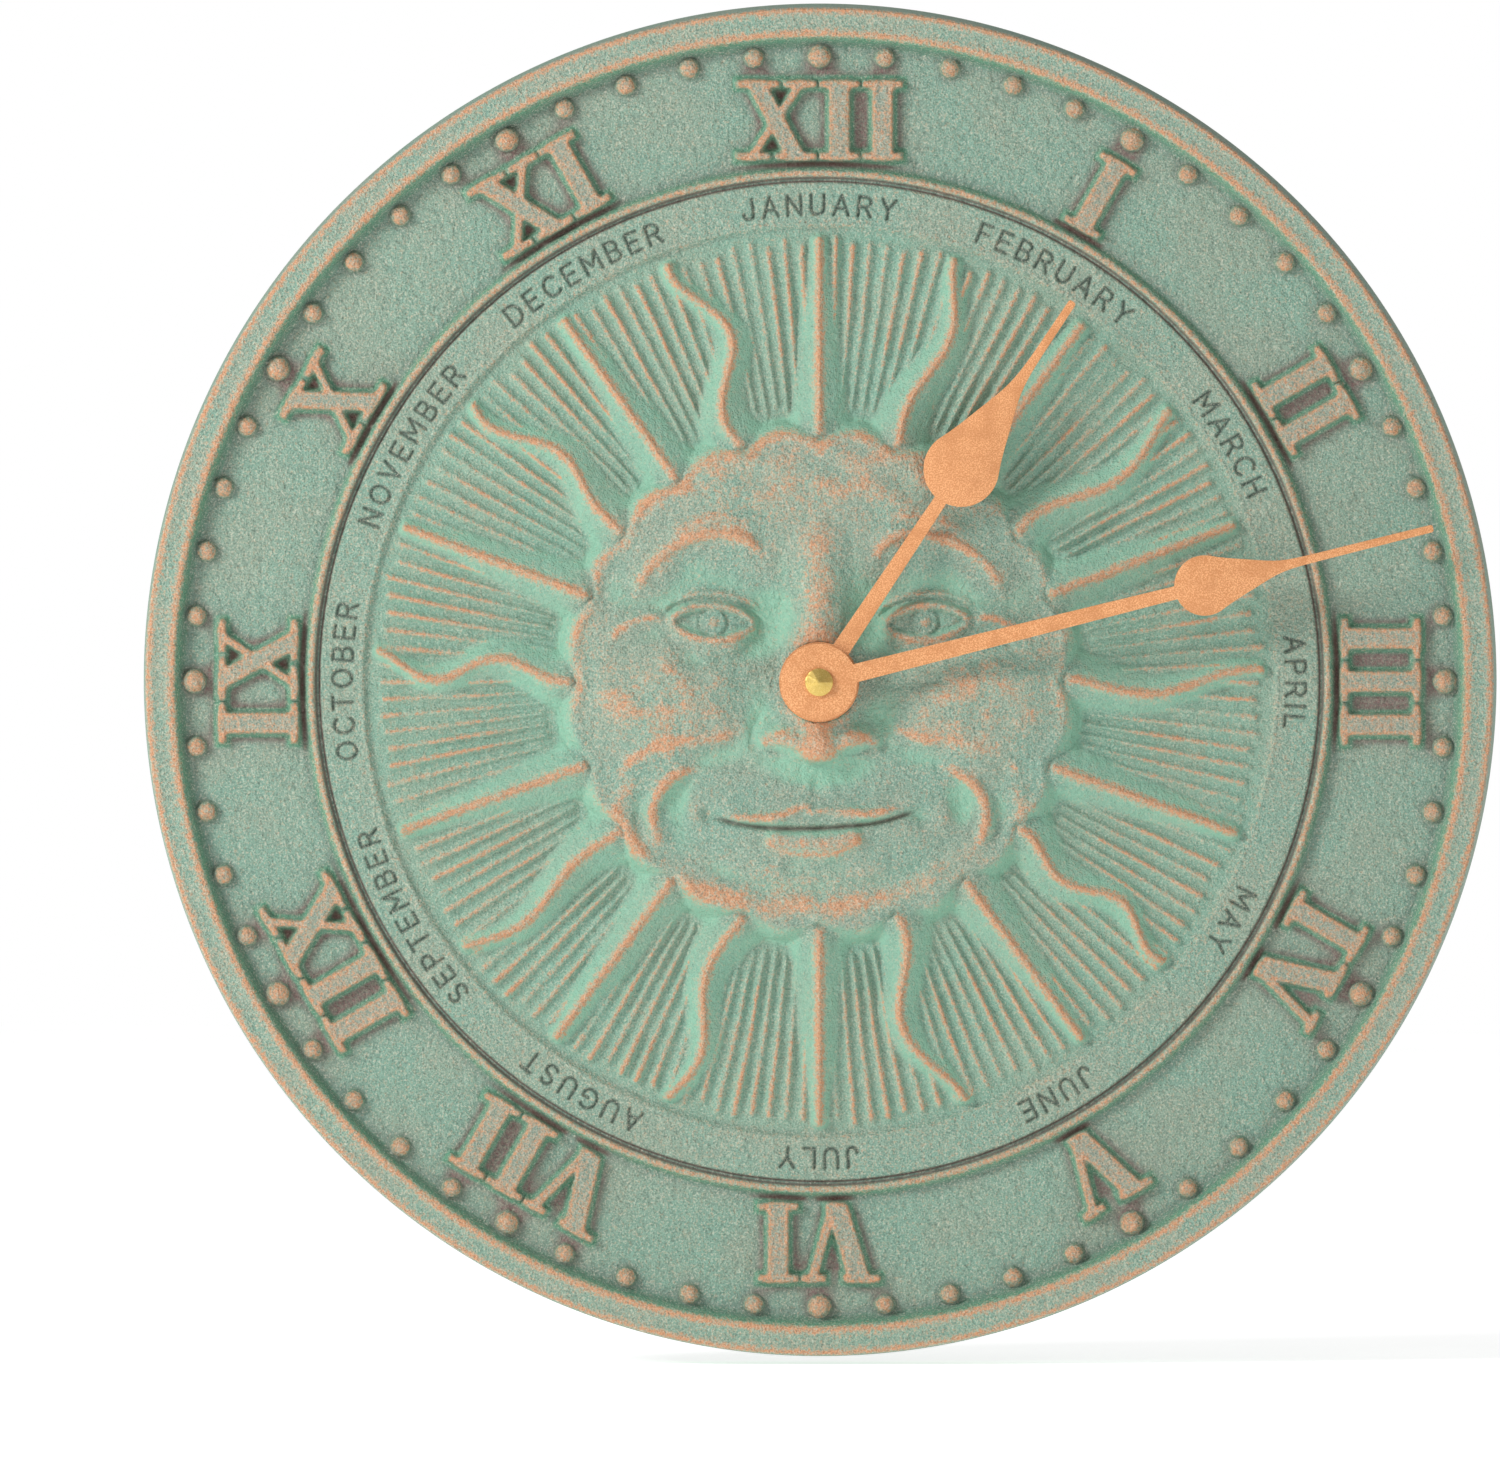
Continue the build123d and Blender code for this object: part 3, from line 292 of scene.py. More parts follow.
def month_distance(x, z):
    """The distance to the nearest stroke of the month names."""
    distance = np.full(np.shape(x), 99.0)
    middle_r = MONTH_FOOT_R + MONTH_HEIGHT / 2
    for month, word in enumerate(MONTHS):
        widths = [STROKES[c][0] * MONTH_HEIGHT for c in word]
        gap = LETTER_GAP * MONTH_HEIGHT
        place = -(sum(widths) + gap * (len(word) - 1)) / 2
        for c, width in zip(word, widths):
            angle = 30 * month + np.degrees((place + width / 2) / middle_r)
            across, out = turned(x, z, angle)
            up = out - MONTH_FOOT_R
            near = (np.abs(across) < width / 2 + 1.2) & (up > -1.2) & (up < MONTH_HEIGHT + 1.2)
            if near.any():
                a, u = across[near] + width / 2, up[near]
                for stroke in STROKES[c][1]:
                    d, _ = line_distance(a, u, np.array(stroke) * MONTH_HEIGHT)
                    distance[near] = np.minimum(distance[near], d)
            place += width + gap
    return distance


# ---- pips ----
def pip_height(x, z):
    """Sixty round pips on the channel's floor, larger at the hours; 0 away from them."""
    angle = np.degrees(np.arctan2(x, z))
    index = np.round(angle / 6).astype(int)
    hour = index % 5 == 0
    circle_r = np.where(hour, 140.6, 140.9)
    pip_r = np.where(hour, 2.8, 2.35)
    a = np.radians(6.0 * index)
    d = np.hypot(x - circle_r * np.sin(a), z - circle_r * np.cos(a))
    return np.sqrt(np.clip(pip_r ** 2 - d ** 2, 0, None)) * 0.92 + 0.25 * smoothstep((pip_r + 0.7 - d) / 0.9)


# ---- sunburst ----
def ray_height(x, z):
    """The sun's rays, wide at the face and thin at the tip: their height, and 1 on their worn crests."""
    r = np.hypot(x, z)
    share = np.clip((r - RAY_START_R) / (RAY_TIP_R - RAY_START_R), 0, 1)
    half = 6.2 * (1 - share) ** 0.75 + 1.9
    raise_ = 4.4 - 2.3 * share
    best = np.zeros(np.shape(x))
    worn = np.zeros(np.shape(x))
    rays = [(angle, 0.0, 0.0, 75, 40) for angle in STRAIGHT_RAYS] + WAVY_RAYS
    for angle, mean, sway, peak, wave in rays:
        a, out = turned(x, z, angle)
        near = (out > RAY_START_R - 6) & (np.abs(a) < 18)
        if not near.any():
            continue
        grow = smoothstep((r[near] - RAY_START_R) / 12)
        offset = grow * (mean + sway * np.cos(2 * pi * (r[near] - peak) / wave))
        side = a[near] - r[near] * np.radians(offset)
        q = np.abs(side) / half[near]
        ridge = np.clip(1 - q, 0, 1) ** 0.8
        crest = np.exp(-(side / 0.9) ** 2)
        tip = smoothstep((RAY_TIP_R - r[near]) / 1.0) * smoothstep((r[near] - 53.2) / 3.0)
        best[near] = np.maximum(best[near], (raise_[near] * ridge + 0.4 * crest * (q < 1)) * tip)
        crest_width = 1.05 + 0.5 * (1 - share[near])
        worn[near] = np.maximum(worn[near], 0.74 * np.exp(-(side / crest_width) ** 2) * tip)
    return best, worn


def rib_height(x, z):
    """Fine radial ribs between the rays, each of its own height and length, and 1 on their worn crests."""
    r = np.hypot(x, z)
    drift = 0.5 * value_noise(x, z, 16.0, 11)
    turns = (RIB_COUNT * np.arctan2(x, z) + drift) / (2 * pi)
    index = np.round(turns).astype(int) % RIB_COUNT
    rng = np.random.default_rng(5)
    tall = rng.uniform(0.7, 1.15, RIB_COUNT)
    start = rng.uniform(59.6, 61.4, RIB_COUNT)
    end = rng.uniform(98.6, 101, RIB_COUNT)
    wave = 0.5 + 0.5 * np.cos(2 * pi * turns)
    ends = smoothstep((end[index] - r) / 1.1) * smoothstep((r - start[index]) / 2.2)
    uneven = 1 + 0.25 * value_noise(x, z, 7.0, 12)
    raised = 1.15 * wave ** 1.5 * tall[index] * uneven * ends
    outward = 0.3 + 0.65 * smoothstep((r - 62) / 16)
    return raised, outward * wave ** 3.2 * ends * np.clip(uneven * tall[index] - 0.15, 0, 1)


# ---- the sun's face ----
def swell(x, z, cx, cz, rx, rz, height, turn=0.0, power=1.0):
    """A soft round swelling (or a hollow, if height is negative) with half-widths rx and rz."""
    a = radians(turn)
    u = ((x - cx) * cos(a) + (z - cz) * sin(a)) / rx
    v = (-(x - cx) * sin(a) + (z - cz) * cos(a)) / rz
    return height * np.exp(-1.4 * (u * u + v * v) ** power)


def ridge(x, z, points, width, height, ends=0.25):
    """A soft ridge (or a groove, if height is negative) along a smooth line, fading at both ends."""
    d, along = line_distance(x, z, curve_points(points))
    fade = smoothstep(along / ends + 0.15) * smoothstep((1 - along) / ends + 0.15) if ends else 1.0
    return height * np.exp(-(d / width) ** 2) * fade


def mirrored(points):
    return [(-px, pz) for px, pz in points]


MOUTH = [(-24.6, -30.2), (-18, -32.0), (-10, -32.9), (-2, -33.0), (6, -32.5), (14, -31.4), (22.4, -28.9)]


def face_outline_r(x, z):
    """The face's scalloped edge: a lobe between each ray and the next."""
    angle = np.degrees(np.arctan2(x, z)) % 360
    bounds = np.array(RAY_ANGLES + [360.0])
    index = np.clip(np.searchsorted(bounds, angle, side="right") - 1, 0, len(RAY_ANGLES) - 1)
    share = (angle - bounds[index]) / (bounds[index + 1] - bounds[index])
    return 56.6 + 2.7 * np.clip(np.sin(pi * share), 0, 1) ** 0.9


def eye(x, z, side):
    """One almond eye with lids: the change that it makes to the face's surface, and where it is worn."""
    cx, cz = side * 24.0, 13.2
    u = (x - cx) * side
    v = z - cz - 0.04 * u
    half = 8.7
    q = np.clip(1 - (u / half) ** 2, 0, 1)
    upper = 3.1 * q ** 0.8
    lower = -2.9 * q ** 0.85
    ball = 2.0 * np.clip(1 - ((u / 10.5) ** 2 + (v / 7.6) ** 2), 0, 1) ** 0.7
    over_upper = v - upper
    under_lower = lower - v
    edge = smoothstep((half + 2.6 - np.abs(u)) / 2.6)
    lid = 1.15 * np.exp(-((over_upper - 1.1) / 1.0) ** 2)
    fold_line = 5.9 * np.clip(1 - (u / 12.2) ** 2, 0, 1) ** 0.6
    fold_share = smoothstep((11.4 - np.abs(u)) / 2.2)
    crease = -0.8 * np.exp(-((v - fold_line + 0.6) / 0.6) ** 2) * fold_share
    crease += 0.75 * np.exp(-((v - fold_line - 0.9) / 0.9) ** 2) * fold_share
    low_lid = 0.85 * np.exp(-((under_lower - 0.9) / 0.95) ** 2)
    inside = (over_upper < 0) & (under_lower < 0) & (np.abs(u) < half)
    depth = np.minimum(-over_upper, -under_lower)
    rim = np.where(inside, -0.6 * smoothstep(depth / 0.5), 0)
    iris_d = np.hypot(u + 0.2, v - 0.2)
    iris = 0.35 * smoothstep((3.0 - iris_d) / 0.4) - 0.4 * np.exp(-((iris_d - 3.3) / 0.35) ** 2)
    iris = np.where(inside, iris, 0)
    pupil = np.where(inside, 0.5 * np.exp(-(iris_d / 1.2) ** 4), 0)
    broken = 1 + 0.9 * value_noise(x, z, 2.2, 27)
    worn = 0.22 * np.exp(-((over_upper - 1.0) / 0.7) ** 2) + 0.2 * np.exp(-((under_lower - 0.9) / 0.7) ** 2)
    worn += 0.34 * np.exp(-((v - fold_line - 0.9) / 0.8) ** 2) * fold_share
    worn = worn * edge * broken + np.where(inside, 0.55 * np.exp(-(iris_d / 1.4) ** 4) - 0.15, 0)
    return ball + (lid + low_lid) * edge + crease + rim + iris + pupil, worn


def face_height(x, z):
    """The sun's calm, smiling face: its height, and how worn each place is."""
    r = np.hypot(x, z)
    outline = face_outline_r(x, z)
    patches = value_noise(x, z, 3.4, 28)
    line, bump = partial(ridge, x, z), partial(swell, x, z)
    h = 23.9 + 2.0 * np.clip(1 - (r / 60) ** 2, 0, 1)
    w = np.full(np.shape(x), 0.1)

    # forehead, and the smooth oval round the mouth
    h += bump(0, 38, 36, 16, 1.5, power=1.3)
    w += bump(-2, 41, 36, 13, 0.34)
    h += bump(-1, -33, 29, 15, 1.5, power=2.0)
    w += bump(0, -30, 26, 12, -0.1)
    # the nose ends in a crisp underside, lowest at its tip
    under = smoothstep((z + 19.0 - 0.36 * (np.hypot(x, 2) - 2)) / 1.5)
    for side in (-1, 1):
        m = (lambda pts: pts) if side > 0 else mirrored
        # cheek, its worn patches and its lower edge
        h += bump(side * 36, -6, 19, 17, 2.3, power=1.5)
        cheek = bump(side * 36, -6, 18, 14, 1.0, power=1.6)
        w += cheek * (0.24 + 0.26 * smoothstep((patches - 0.1) / 0.6))
        h += 0.16 * cheek * patches
        lower_edge = m([(15.5, -10.0), (22, -12.4), (31, -13.2), (38, -15.0), (43.5, -19.0), (46, -24)])
        w += line(lower_edge, 1.1, 0.42, 0.2) * (1 + 0.8 * patches)
        h += line(lower_edge, 1.6, 0.35, 0.3)
        # the socket, deepest beside the nose, and the temple
        h += bump(side * 22, 15, 16, 9.5, -1.8, power=1.3)
        h += bump(side * 11.5, 12, 4.6, 9, -1.3)
        h += bump(side * 47, 22, 6, 13, -0.6)
        w += bump(side * 51, 6, 5, 14, 0.3) * (1 + 0.8 * patches)
        # brow: a broad shelf that carries a fine raised line, fainter towards the temple
        brow = m([(12.8, 28.6), (15.0, 31.2), (20, 33.4), (27, 32.6), (33.4, 29.8), (38.6, 25.2),
                  (41.4, 19.0)])
        h += line(brow, 5.2, 1.2) + line(brow, 1.1, 0.8, 0.15)
        distance, along = line_distance(x, z, curve_points(brow))
        fading = 1 - 0.6 * smoothstep((along - 0.45) / 0.3)
        brow_wear = 0.62 if side < 0 else 0.4
        w += (brow_wear + 0.4 * patches) * np.exp(-(distance / 1.15) ** 2) * fading
        upper_line = m([(14.5, 35.4), (20, 37.0), (27, 36.2), (34, 33.0)])
        h += line(upper_line, 1.0, 0.4, 0.3)
        w += line(upper_line, 0.8, 0.2, 0.3)
        eye_h, eye_w = eye(x, z, side)
        h, w = h + eye_h, w + eye_w
        # bag and the small creases round the eye
        h += line(m([(13, 7.4), (19, 4.7), (26, 4.0), (33, 6.2)]), 1.6, -0.5)
        h += line(m([(17, 2.4), (23, 0.2), (30, 0.8)]), 1.3, -0.3)
        corner = m([(33.4, 13.8), (38.0, 14.4), (43, 12.8), (48.5, 8.6)])
        h += line(corner, 1.3, 0.8, 0.25)
        w += line(corner, 0.9, 0.34, 0.2) * (1 + 0.8 * patches)
        h += line(m([(35, 16.8), (40, 17.4), (45, 15.6)]), 1.0, -0.4)
        h += line(m([(35, 10.8), (40, 9.8), (45, 6.0)]), 1.0, -0.4)
        # hollow beside the nose, and the fold from its wing down past the mouth
        h += bump(side * 16.5, -4, 5.0, 9.0, -0.7)
        fold_line = m([(15.2, -12.5), (20.5, -15.8), (26.5, -18.2), (30.6, -22.6), (31.8, -28.5),
                       (30.6, -35.5)])
        h += line(fold_line, 2.4, -1.0, 0.3)
        # crescent ridges on the lower cheek
        crescent = m([(26.0, -19.2), (31.0, -20.6), (35.6, -24.4), (37.6, -30.4), (35.6, -37.6)])
        h += line(crescent, 1.7, 1.3, 0.2)
        w += line(crescent, 1.2, 0.58, 0.15) * (1 + 0.5 * patches)
        outer = m([(40.6, -21.5), (44.4, -25.5), (45.2, -31.5), (42.2, -37.5)])
        h += line(outer, 2.4, 0.8, 0.3)
        w += line(outer, 1.8, 0.36, 0.3) * (1 + 0.8 * patches)
        h += line(m([(39.8, -25.0), (40.8, -31.0), (38.6, -37.0)]), 1.3, -0.5, 0.3)
        # wing of the nose, its crease and the nostril
        h += bump(side * 9.2, -13.8, 4.8, 4.0, 2.2, power=1.8) * under
        wing = m([(6.0, -11.6), (9.4, -12.2), (13.0, -14.4)])
        w += line(wing, 0.8, 0.3, 0.2) * (1 + 1.2 * patches)
        w += bump(side * 9.6, -14.4, 4.6, 2.4, -0.24)
        h += line(m([(12.8, -6.6), (15.2, -11.0), (14.4, -16.4)]), 1.0, -0.6, 0.25)
        h += bump(side * 7.6, -15.3, 3.8, 0.9, -1.3, turn=side * 18, power=1.6)
        nostril_rim = m([(13.6, -13.9), (11.6, -15.8), (7.8, -16.9), (4.0, -17.9), (1.0, -18.8)])
        h += line(nostril_rim, 0.7, 0.8, 0.15)
        w += line(nostril_rim, 0.5, 0.16, 0.2)
        # corner of the mouth
        h += bump(side * 23.8 - 1, -30.2, 2.2, 2.2, -1.0)
        h += line(m([(26.4, -26.5), (28.0, -30.5), (26.8, -34.5)]), 1.8, 0.35, 0.3)
        h += line(m([(2.0, -20.8), (3.0, -26.0)]), 0.9, 0.25, 0.2)
    # nose: a broad bridge that widens to the tip
    bridge, along = line_distance(x, z, curve_points([(0, 30), (0, 22), (0, 10), (0, -3), (0, -12.0)]))
    width = 7.0 + 3.6 * along
    wedge = np.clip(1.12 - np.sqrt((bridge / width) ** 2 + 0.09), 0, 1) ** 1.15
    h += (2.6 + 2.5 * along) * wedge * under
    w += bump(-1.5, 17, 3.2, 15, 0.16) * (1 + patches) + 0.05 * np.exp(-(bridge / 5.0) ** 2)
    h += bump(-0.5, -15.4, 5.4, 4.8, 1.9, power=1.8) * under
    tip_narrowing = smoothstep((z + 20.5 - 1.1 * np.abs(x + 0.8)) / 3.0)
    w += bump(-0.8, -12.6, 3.4, 5.6, 0.48, power=1.4) * (1 + 0.6 * patches) * tip_narrowing
    h += line([(-12, -19.6), (-5, -21.2), (5, -21.2), (12, -19.6)], 1.6, -0.5, 0.3)
    # philtrum and lips
    h += line([(-0.5, -21.4), (-0.5, -26.2)], 1.2, -0.4, 0.2)
    upper_lip = [(-21.5, -30.2), (-15, -30.6), (-9, -30.0), (-5, -28.6), (-3.2, -28.0), (-1.6, -29.4),
                 (1.5, -28.9), (7, -29.2), (12, -29.6), (19, -27.9)]
    h += line(upper_lip, 1.3, 1.1, 0.15)
    w += line(upper_lip, 0.75, 0.5, 0.12) * (1 + 0.6 * patches)
    h += line([(-18, -31.2), (-8, -31.2), (-1, -31.4), (8, -31.0), (16, -30.0)], 1.3, 0.6, 0.2)
    h += line(MOUTH, 0.55, -1.35, 0.1)
    lower_lip = [(-12.5, -34.6), (-7.5, -35.8), (-1, -36.2), (5.0, -35.8), (10.0, -34.0)]
    h += line(lower_lip, 2.7, 1.9, 0.12)
    lip_edge = [(-13.2, -34.0), (-8.8, -38.0), (-1, -38.9), (5.4, -38.0), (9.8, -33.6)]
    w += line(lip_edge, 0.8, 0.5, 0.1)
    w -= line(lower_lip, 1.5, 0.34, 0.1) * (1 + 0.6 * patches)
    w += bump(8.4, -35.6, 2.2, 2.4, 0.4)
    h += line([(-9, -41.2), (-1, -42.2), (7, -41.2)], 2.0, -0.9, 0.3)
    # chin and the uneven band under it
    h += bump(-1, -42.8, 15, 4.0, 0.6, power=1.5)
    w += bump(-6, -47, 32, 7, 0.26)
    band = [(-47, -31.0), (-40.5, -38.0), (-32.5, -43.6), (-24, -47.6), (-13, -50.2), (0, -50.6), (12, -49.2),
            (22, -46.0), (31, -41.0), (38.5, -34.5)]
    lumps = 1 + 0.5 * value_noise(x, z, 6.0, 24)
    h += line(band, 3.4, 1.0, 0.15) * lumps
    w += line(band, 2.6, 0.44, 0.1) * lumps * (1 + 0.6 * patches)
    h += line([(-29, -39.4), (-20, -43.8), (-10, -46.2), (0, -46.8), (10, -45.8), (20, -42.8),
                         (28, -38.0)], 1.4, -0.5, 0.2)
    # waves of hair over the forehead
    for k, (wave_r, spread) in enumerate(((51.6, 2.6), (45.0, 2.4))):
        crest_r = wave_r + 1.3 * np.cos(np.arctan2(x, z) * 17 + 1.3 * k)
        arc_share = smoothstep((z - 30 + 6 * k) / 16)
        bank = np.exp(-((r - crest_r) / spread) ** 2) * arc_share
        h += (0.8 - 0.4 * k) * bank
        w += (0.24 - 0.1 * k) * bank * (1 + 1.2 * patches)
    # slow unevenness of the cast surface
    h += 0.24 * value_noise(x, z, 7.0, 21) + 0.18 * value_noise(x, z, 3.2, 22)
    # the scalloped edge rolls down to the sunburst, its crest worn most at the upper left
    inset = outline - r
    rounding = np.sqrt(1 - (1 - np.clip(inset / 4.2, 0, 1)) ** 2)
    roll = np.exp(-((inset - 3.4) / 1.5) ** 2)
    upper_left = smoothstep((z - 0.45 * x - 25) / 30)
    low = smoothstep((-30 - z) / 12)
    w += roll * (0.1 + 0.5 * upper_left + 0.3 * patches - 0.3 * low)
    w -= 0.35 * smoothstep((1.8 - inset) / 1.2)
    h = SUNBURST_T - 0.3 + (h - SUNBURST_T + 0.3 + 0.5 * roll) * rounding
    return np.where(r < outline, h, 0), w


# ---- the whole relief ----
# The worn edges of the rings, each as its radius, its width and how worn it is
WORN_CIRCLES = [(150.6, 0.8, 0.4), (145.6, 0.9, 0.5), (114.2, 0.9, 0.56), (102.4, 0.7, 0.1)]


def relief(x, z):
    """The height t of the casting's front at each point, and how worn it is, from 0 to 1."""
    r = np.hypot(x, z)
    h = ring_height(r)
    worn = 0.14 * ((r > 102) & (r < 112.3)) + 0.2 * (r > 145)
    for circle_r, width, amount in WORN_CIRCLES:
        worn = worn + amount * np.exp(-((r - circle_r) / width) ** 2)
    burst = (r > 44) & (r < SUNBURST_END_R + 1)
    if burst.any():
        rays, ray_worn = ray_height(x[burst], z[burst])
        ribs, rib_worn = rib_height(x[burst], z[burst])
        foot = 0.6 * smoothstep((70 - r[burst]) / 13)
        h[burst] += foot + smooth_max(rays, ribs, 0.35)
        worn[burst] += ray_worn + rib_worn * smoothstep((ribs - rays + 0.5) / 0.6)
    face = r < 60
    if face.any():
        face_h, face_w = face_height(x[face], z[face])
        share = smoothstep((face_h - h[face]) / 0.8)
        worn[face] = worn[face] * (1 - share) + face_w * share
        h[face] = smooth_max(h[face], face_h, 0.5)
    months = (r > MONTH_FOOT_R - 2) & (r < MONTH_FOOT_R + MONTH_HEIGHT + 2)
    if months.any():
        d = month_distance(x[months], z[months])
        h[months] -= MONTH_DEPTH * smoothstep((MONTH_STROKE + 0.28 - d) / 0.42)
    channel = (r > 115.4) & (r < 144.5)
    if channel.any():
        d, _ = numeral_distance(x[channel], z[channel])
        pips = pip_height(x[channel], z[channel])
        h[channel] += NUMERAL_RAISE * smoothstep((0.5 - d) / 1.0)
        h[channel] = smooth_max(h[channel], CHANNEL_T + pips, 0.25)
        edges = np.exp(-((d + 0.45) / 0.5) ** 2)
        worn[channel] += np.where(d < 0.4, 0.27 * smoothstep(-d / 0.5) + 0.46 * edges, 0)
        worn[channel] += 0.6 * smoothstep((pips - 0.7) / 0.8)
    h += 0.08 * value_noise(x, z, 2.3, 31) + 0.11 * value_noise(x, z, 1.15, 32)
    h += 0.08 * value_noise(x, z, 0.7, 33)
    round_off = 1.2
    to_spot_face = SPOT_FACE_T + (h - SPOT_FACE_T) * smoothstep((r - SPOT_FACE_R) / round_off)
    h = np.where(r < SPOT_FACE_R + round_off, to_spot_face, h)
    return h, np.clip(worn, 0, 1)


# ---- shading masks from a square map of the relief ----
MAP_STEP = 0.32
MAP_HALF = 153.6


def blur(grid, sigma):
    """A Gaussian blur of a square map, sigma in millimetres."""
    reach = int(3 * sigma / MAP_STEP)
    kernel = np.exp(-0.5 * (np.arange(-reach, reach + 1) * MAP_STEP / sigma) ** 2)
    kernel /= kernel.sum()
    for axis in (0, 1):
        padded = np.pad(grid, [(reach, reach) if k == axis else (0, 0) for k in (0, 1)], mode="edge")
        total = np.zeros_like(grid)
        for k, weight in enumerate(kernel):
            part = padded[k:k + grid.shape[0]] if axis == 0 else padded[:, k:k + grid.shape[1]]
            total += weight * part
        grid = total
    return grid


def make_masks():
    """Square maps, 0 to 1: worn edges, painted shade in the creases with a grey tone on raised tops, walls,
    clean places, stains with painted shade on the floor round the numerals, dark patina with painted shade in
    narrow grooves, and letters.
    """
    line = np.arange(-MAP_HALF, MAP_HALF + MAP_STEP, MAP_STEP)
    x, z = (g.ravel() for g in np.meshgrid(line, line))
    size = (len(line), len(line))
    r = np.hypot(x, z).reshape(size)
    h, worn = (g.reshape(size) for g in relief(x, z))
    near = blur(h, 0.75)
    middle = blur(h, 1.7)
    far = blur(h, 4.0)
    gz, gx = np.gradient(near, MAP_STEP)
    slope = np.hypot(gx, gz)
    inner_face = smoothstep((50 - r) / 3)
    in_sun = smoothstep((SUNBURST_END_R - r) / 1.5)
    convex = np.clip((near - middle) / 0.4, 0, 1) * (0.2 + 0.2 * inner_face)
    convex += np.clip((middle - far) / 0.7, 0, 1) * (0.08 + 0.24 * inner_face)
    # painted shade: greyer where the surface lies below its close surroundings, as in creases
    crease_shade_and_top_grey = np.clip((middle - h) / 0.5, 0, 1)
    face_side = smoothstep((61 - r) / 3)
    steep = smoothstep((slope - 0.3) / 0.6)
    clean = steep + smoothstep((far - middle - 0.08) / 0.45) * face_side + 0.3 * (1 - face_side)
    smooth = in_sun * np.clip(clean, 0, 1)
    steep = steep * (1 - 0.9 * in_sun)
    crease_shade_and_top_grey = crease_shade_and_top_grey * (1 - 0.75 * face_side) * (1 - 0.65 * in_sun)
    d, counter = (g.reshape(size) for g in numeral_distance(x, z))
    in_channel = (r > 115.5) & (r < 143.4)
    floor = np.clip((CHANNEL_T + 0.9 - h) / 0.7, 0, 1) * in_channel
    outside = np.clip(d, 0, None)
    wall = np.exp(-((d - 0.45) / 0.6) ** 2) * in_channel
    steep = np.clip(steep + 0.9 * wall, 0, 1)
    crease_shade_and_top_grey = crease_shade_and_top_grey * (1 - 0.8 * wall)
    raised = smoothstep(-d / 0.5) + smoothstep((pip_height(x, z).reshape(size) - 0.5) / 0.5)
    crowding = blur(np.clip(raised, 0, 1), 2.6)
    # the floor is darker near and between the raised numerals and pips: a stain, with painted shade where
    # they crowd
    stain_and_floor_shade = floor * (0.25 * np.exp(-outside / 3.0) + smoothstep((crowding - 0.13) / 0.24))
    stain_and_floor_shade = stain_and_floor_shade * smoothstep((outside - 0.55) / 0.7)
    on_top = np.clip(raised, 0, 1) * (1 - floor) * in_channel
    # the raised tops of numerals and pips get some stain colour and a muted grey of their own
    stain_and_floor_shade = stain_and_floor_shade + 0.2 * on_top
    crease_shade_and_top_grey = crease_shade_and_top_grey + 0.6 * on_top
    # dark brown in the narrow gap at the numerals' feet, in the counters of each X and along the mouth line:
    # patina, with painted shade in these recesses
    groove_patina_and_shade = np.exp(-((r - 116.3) / 0.68) ** 4) * np.exp(-(np.clip(d - 0.8, 0, None) / 0.9) ** 2)
    groove_patina_and_shade += counter * smoothstep((d - 0.1) / 0.6)
    lips, along = (g.reshape(size) for g in line_distance(x, z, curve_points(MOUTH)))
    groove_patina_and_shade += 0.75 * np.exp(-(lips / 0.42) ** 2) * smoothstep(along * (1 - along) / 0.08)
    letters = smoothstep((MONTH_STROKE + 0.1 - month_distance(x, z).reshape(size)) / 0.3)
    letters = letters * (r > 104) * (r < 111)
    masks = {"wear": worn + convex, "crease_shade_and_top_grey": crease_shade_and_top_grey, "steep": steep, "smooth": smooth, "stain_and_floor_shade": stain_and_floor_shade,
             "groove_patina_and_shade": groove_patina_and_shade, "letters": letters}
    return {name: np.clip(grid, 0, 1) for name, grid in masks.items()}


MASKS = make_masks()


def sample_mask(grid, x, z):
    """A mask's value at each point, between the four nearest places of its map."""
    u = np.clip((x + MAP_HALF) / MAP_STEP, 0, grid.shape[1] - 1.001)
    v = np.clip((z + MAP_HALF) / MAP_STEP, 0, grid.shape[0] - 1.001)
    i, j = u.astype(int), v.astype(int)
    return between_cells(grid, i, j, u - i, v - j)


# ---- meshes ----
def new_object(name, vertices, faces, smooth=None):
    """A mesh object from arrays in metres. smooth says for each face whether it is shaded smooth."""
    mesh = bpy.data.meshes.new(name)
    mesh.from_pydata(vertices, [], faces)
    mesh.update()
    flags = np.ones(len(faces), bool) if smooth is None else np.array(smooth, bool)
    mesh.polygons.foreach_set("use_smooth", flags)
    obj = bpy.data.objects.new(name, mesh)
    bpy.context.collection.objects.link(obj)
    return obj


def add_mask(mesh, name, values):
    mesh.attributes.new(name, "FLOAT", "POINT").data.foreach_set("value", values.astype(np.float32))


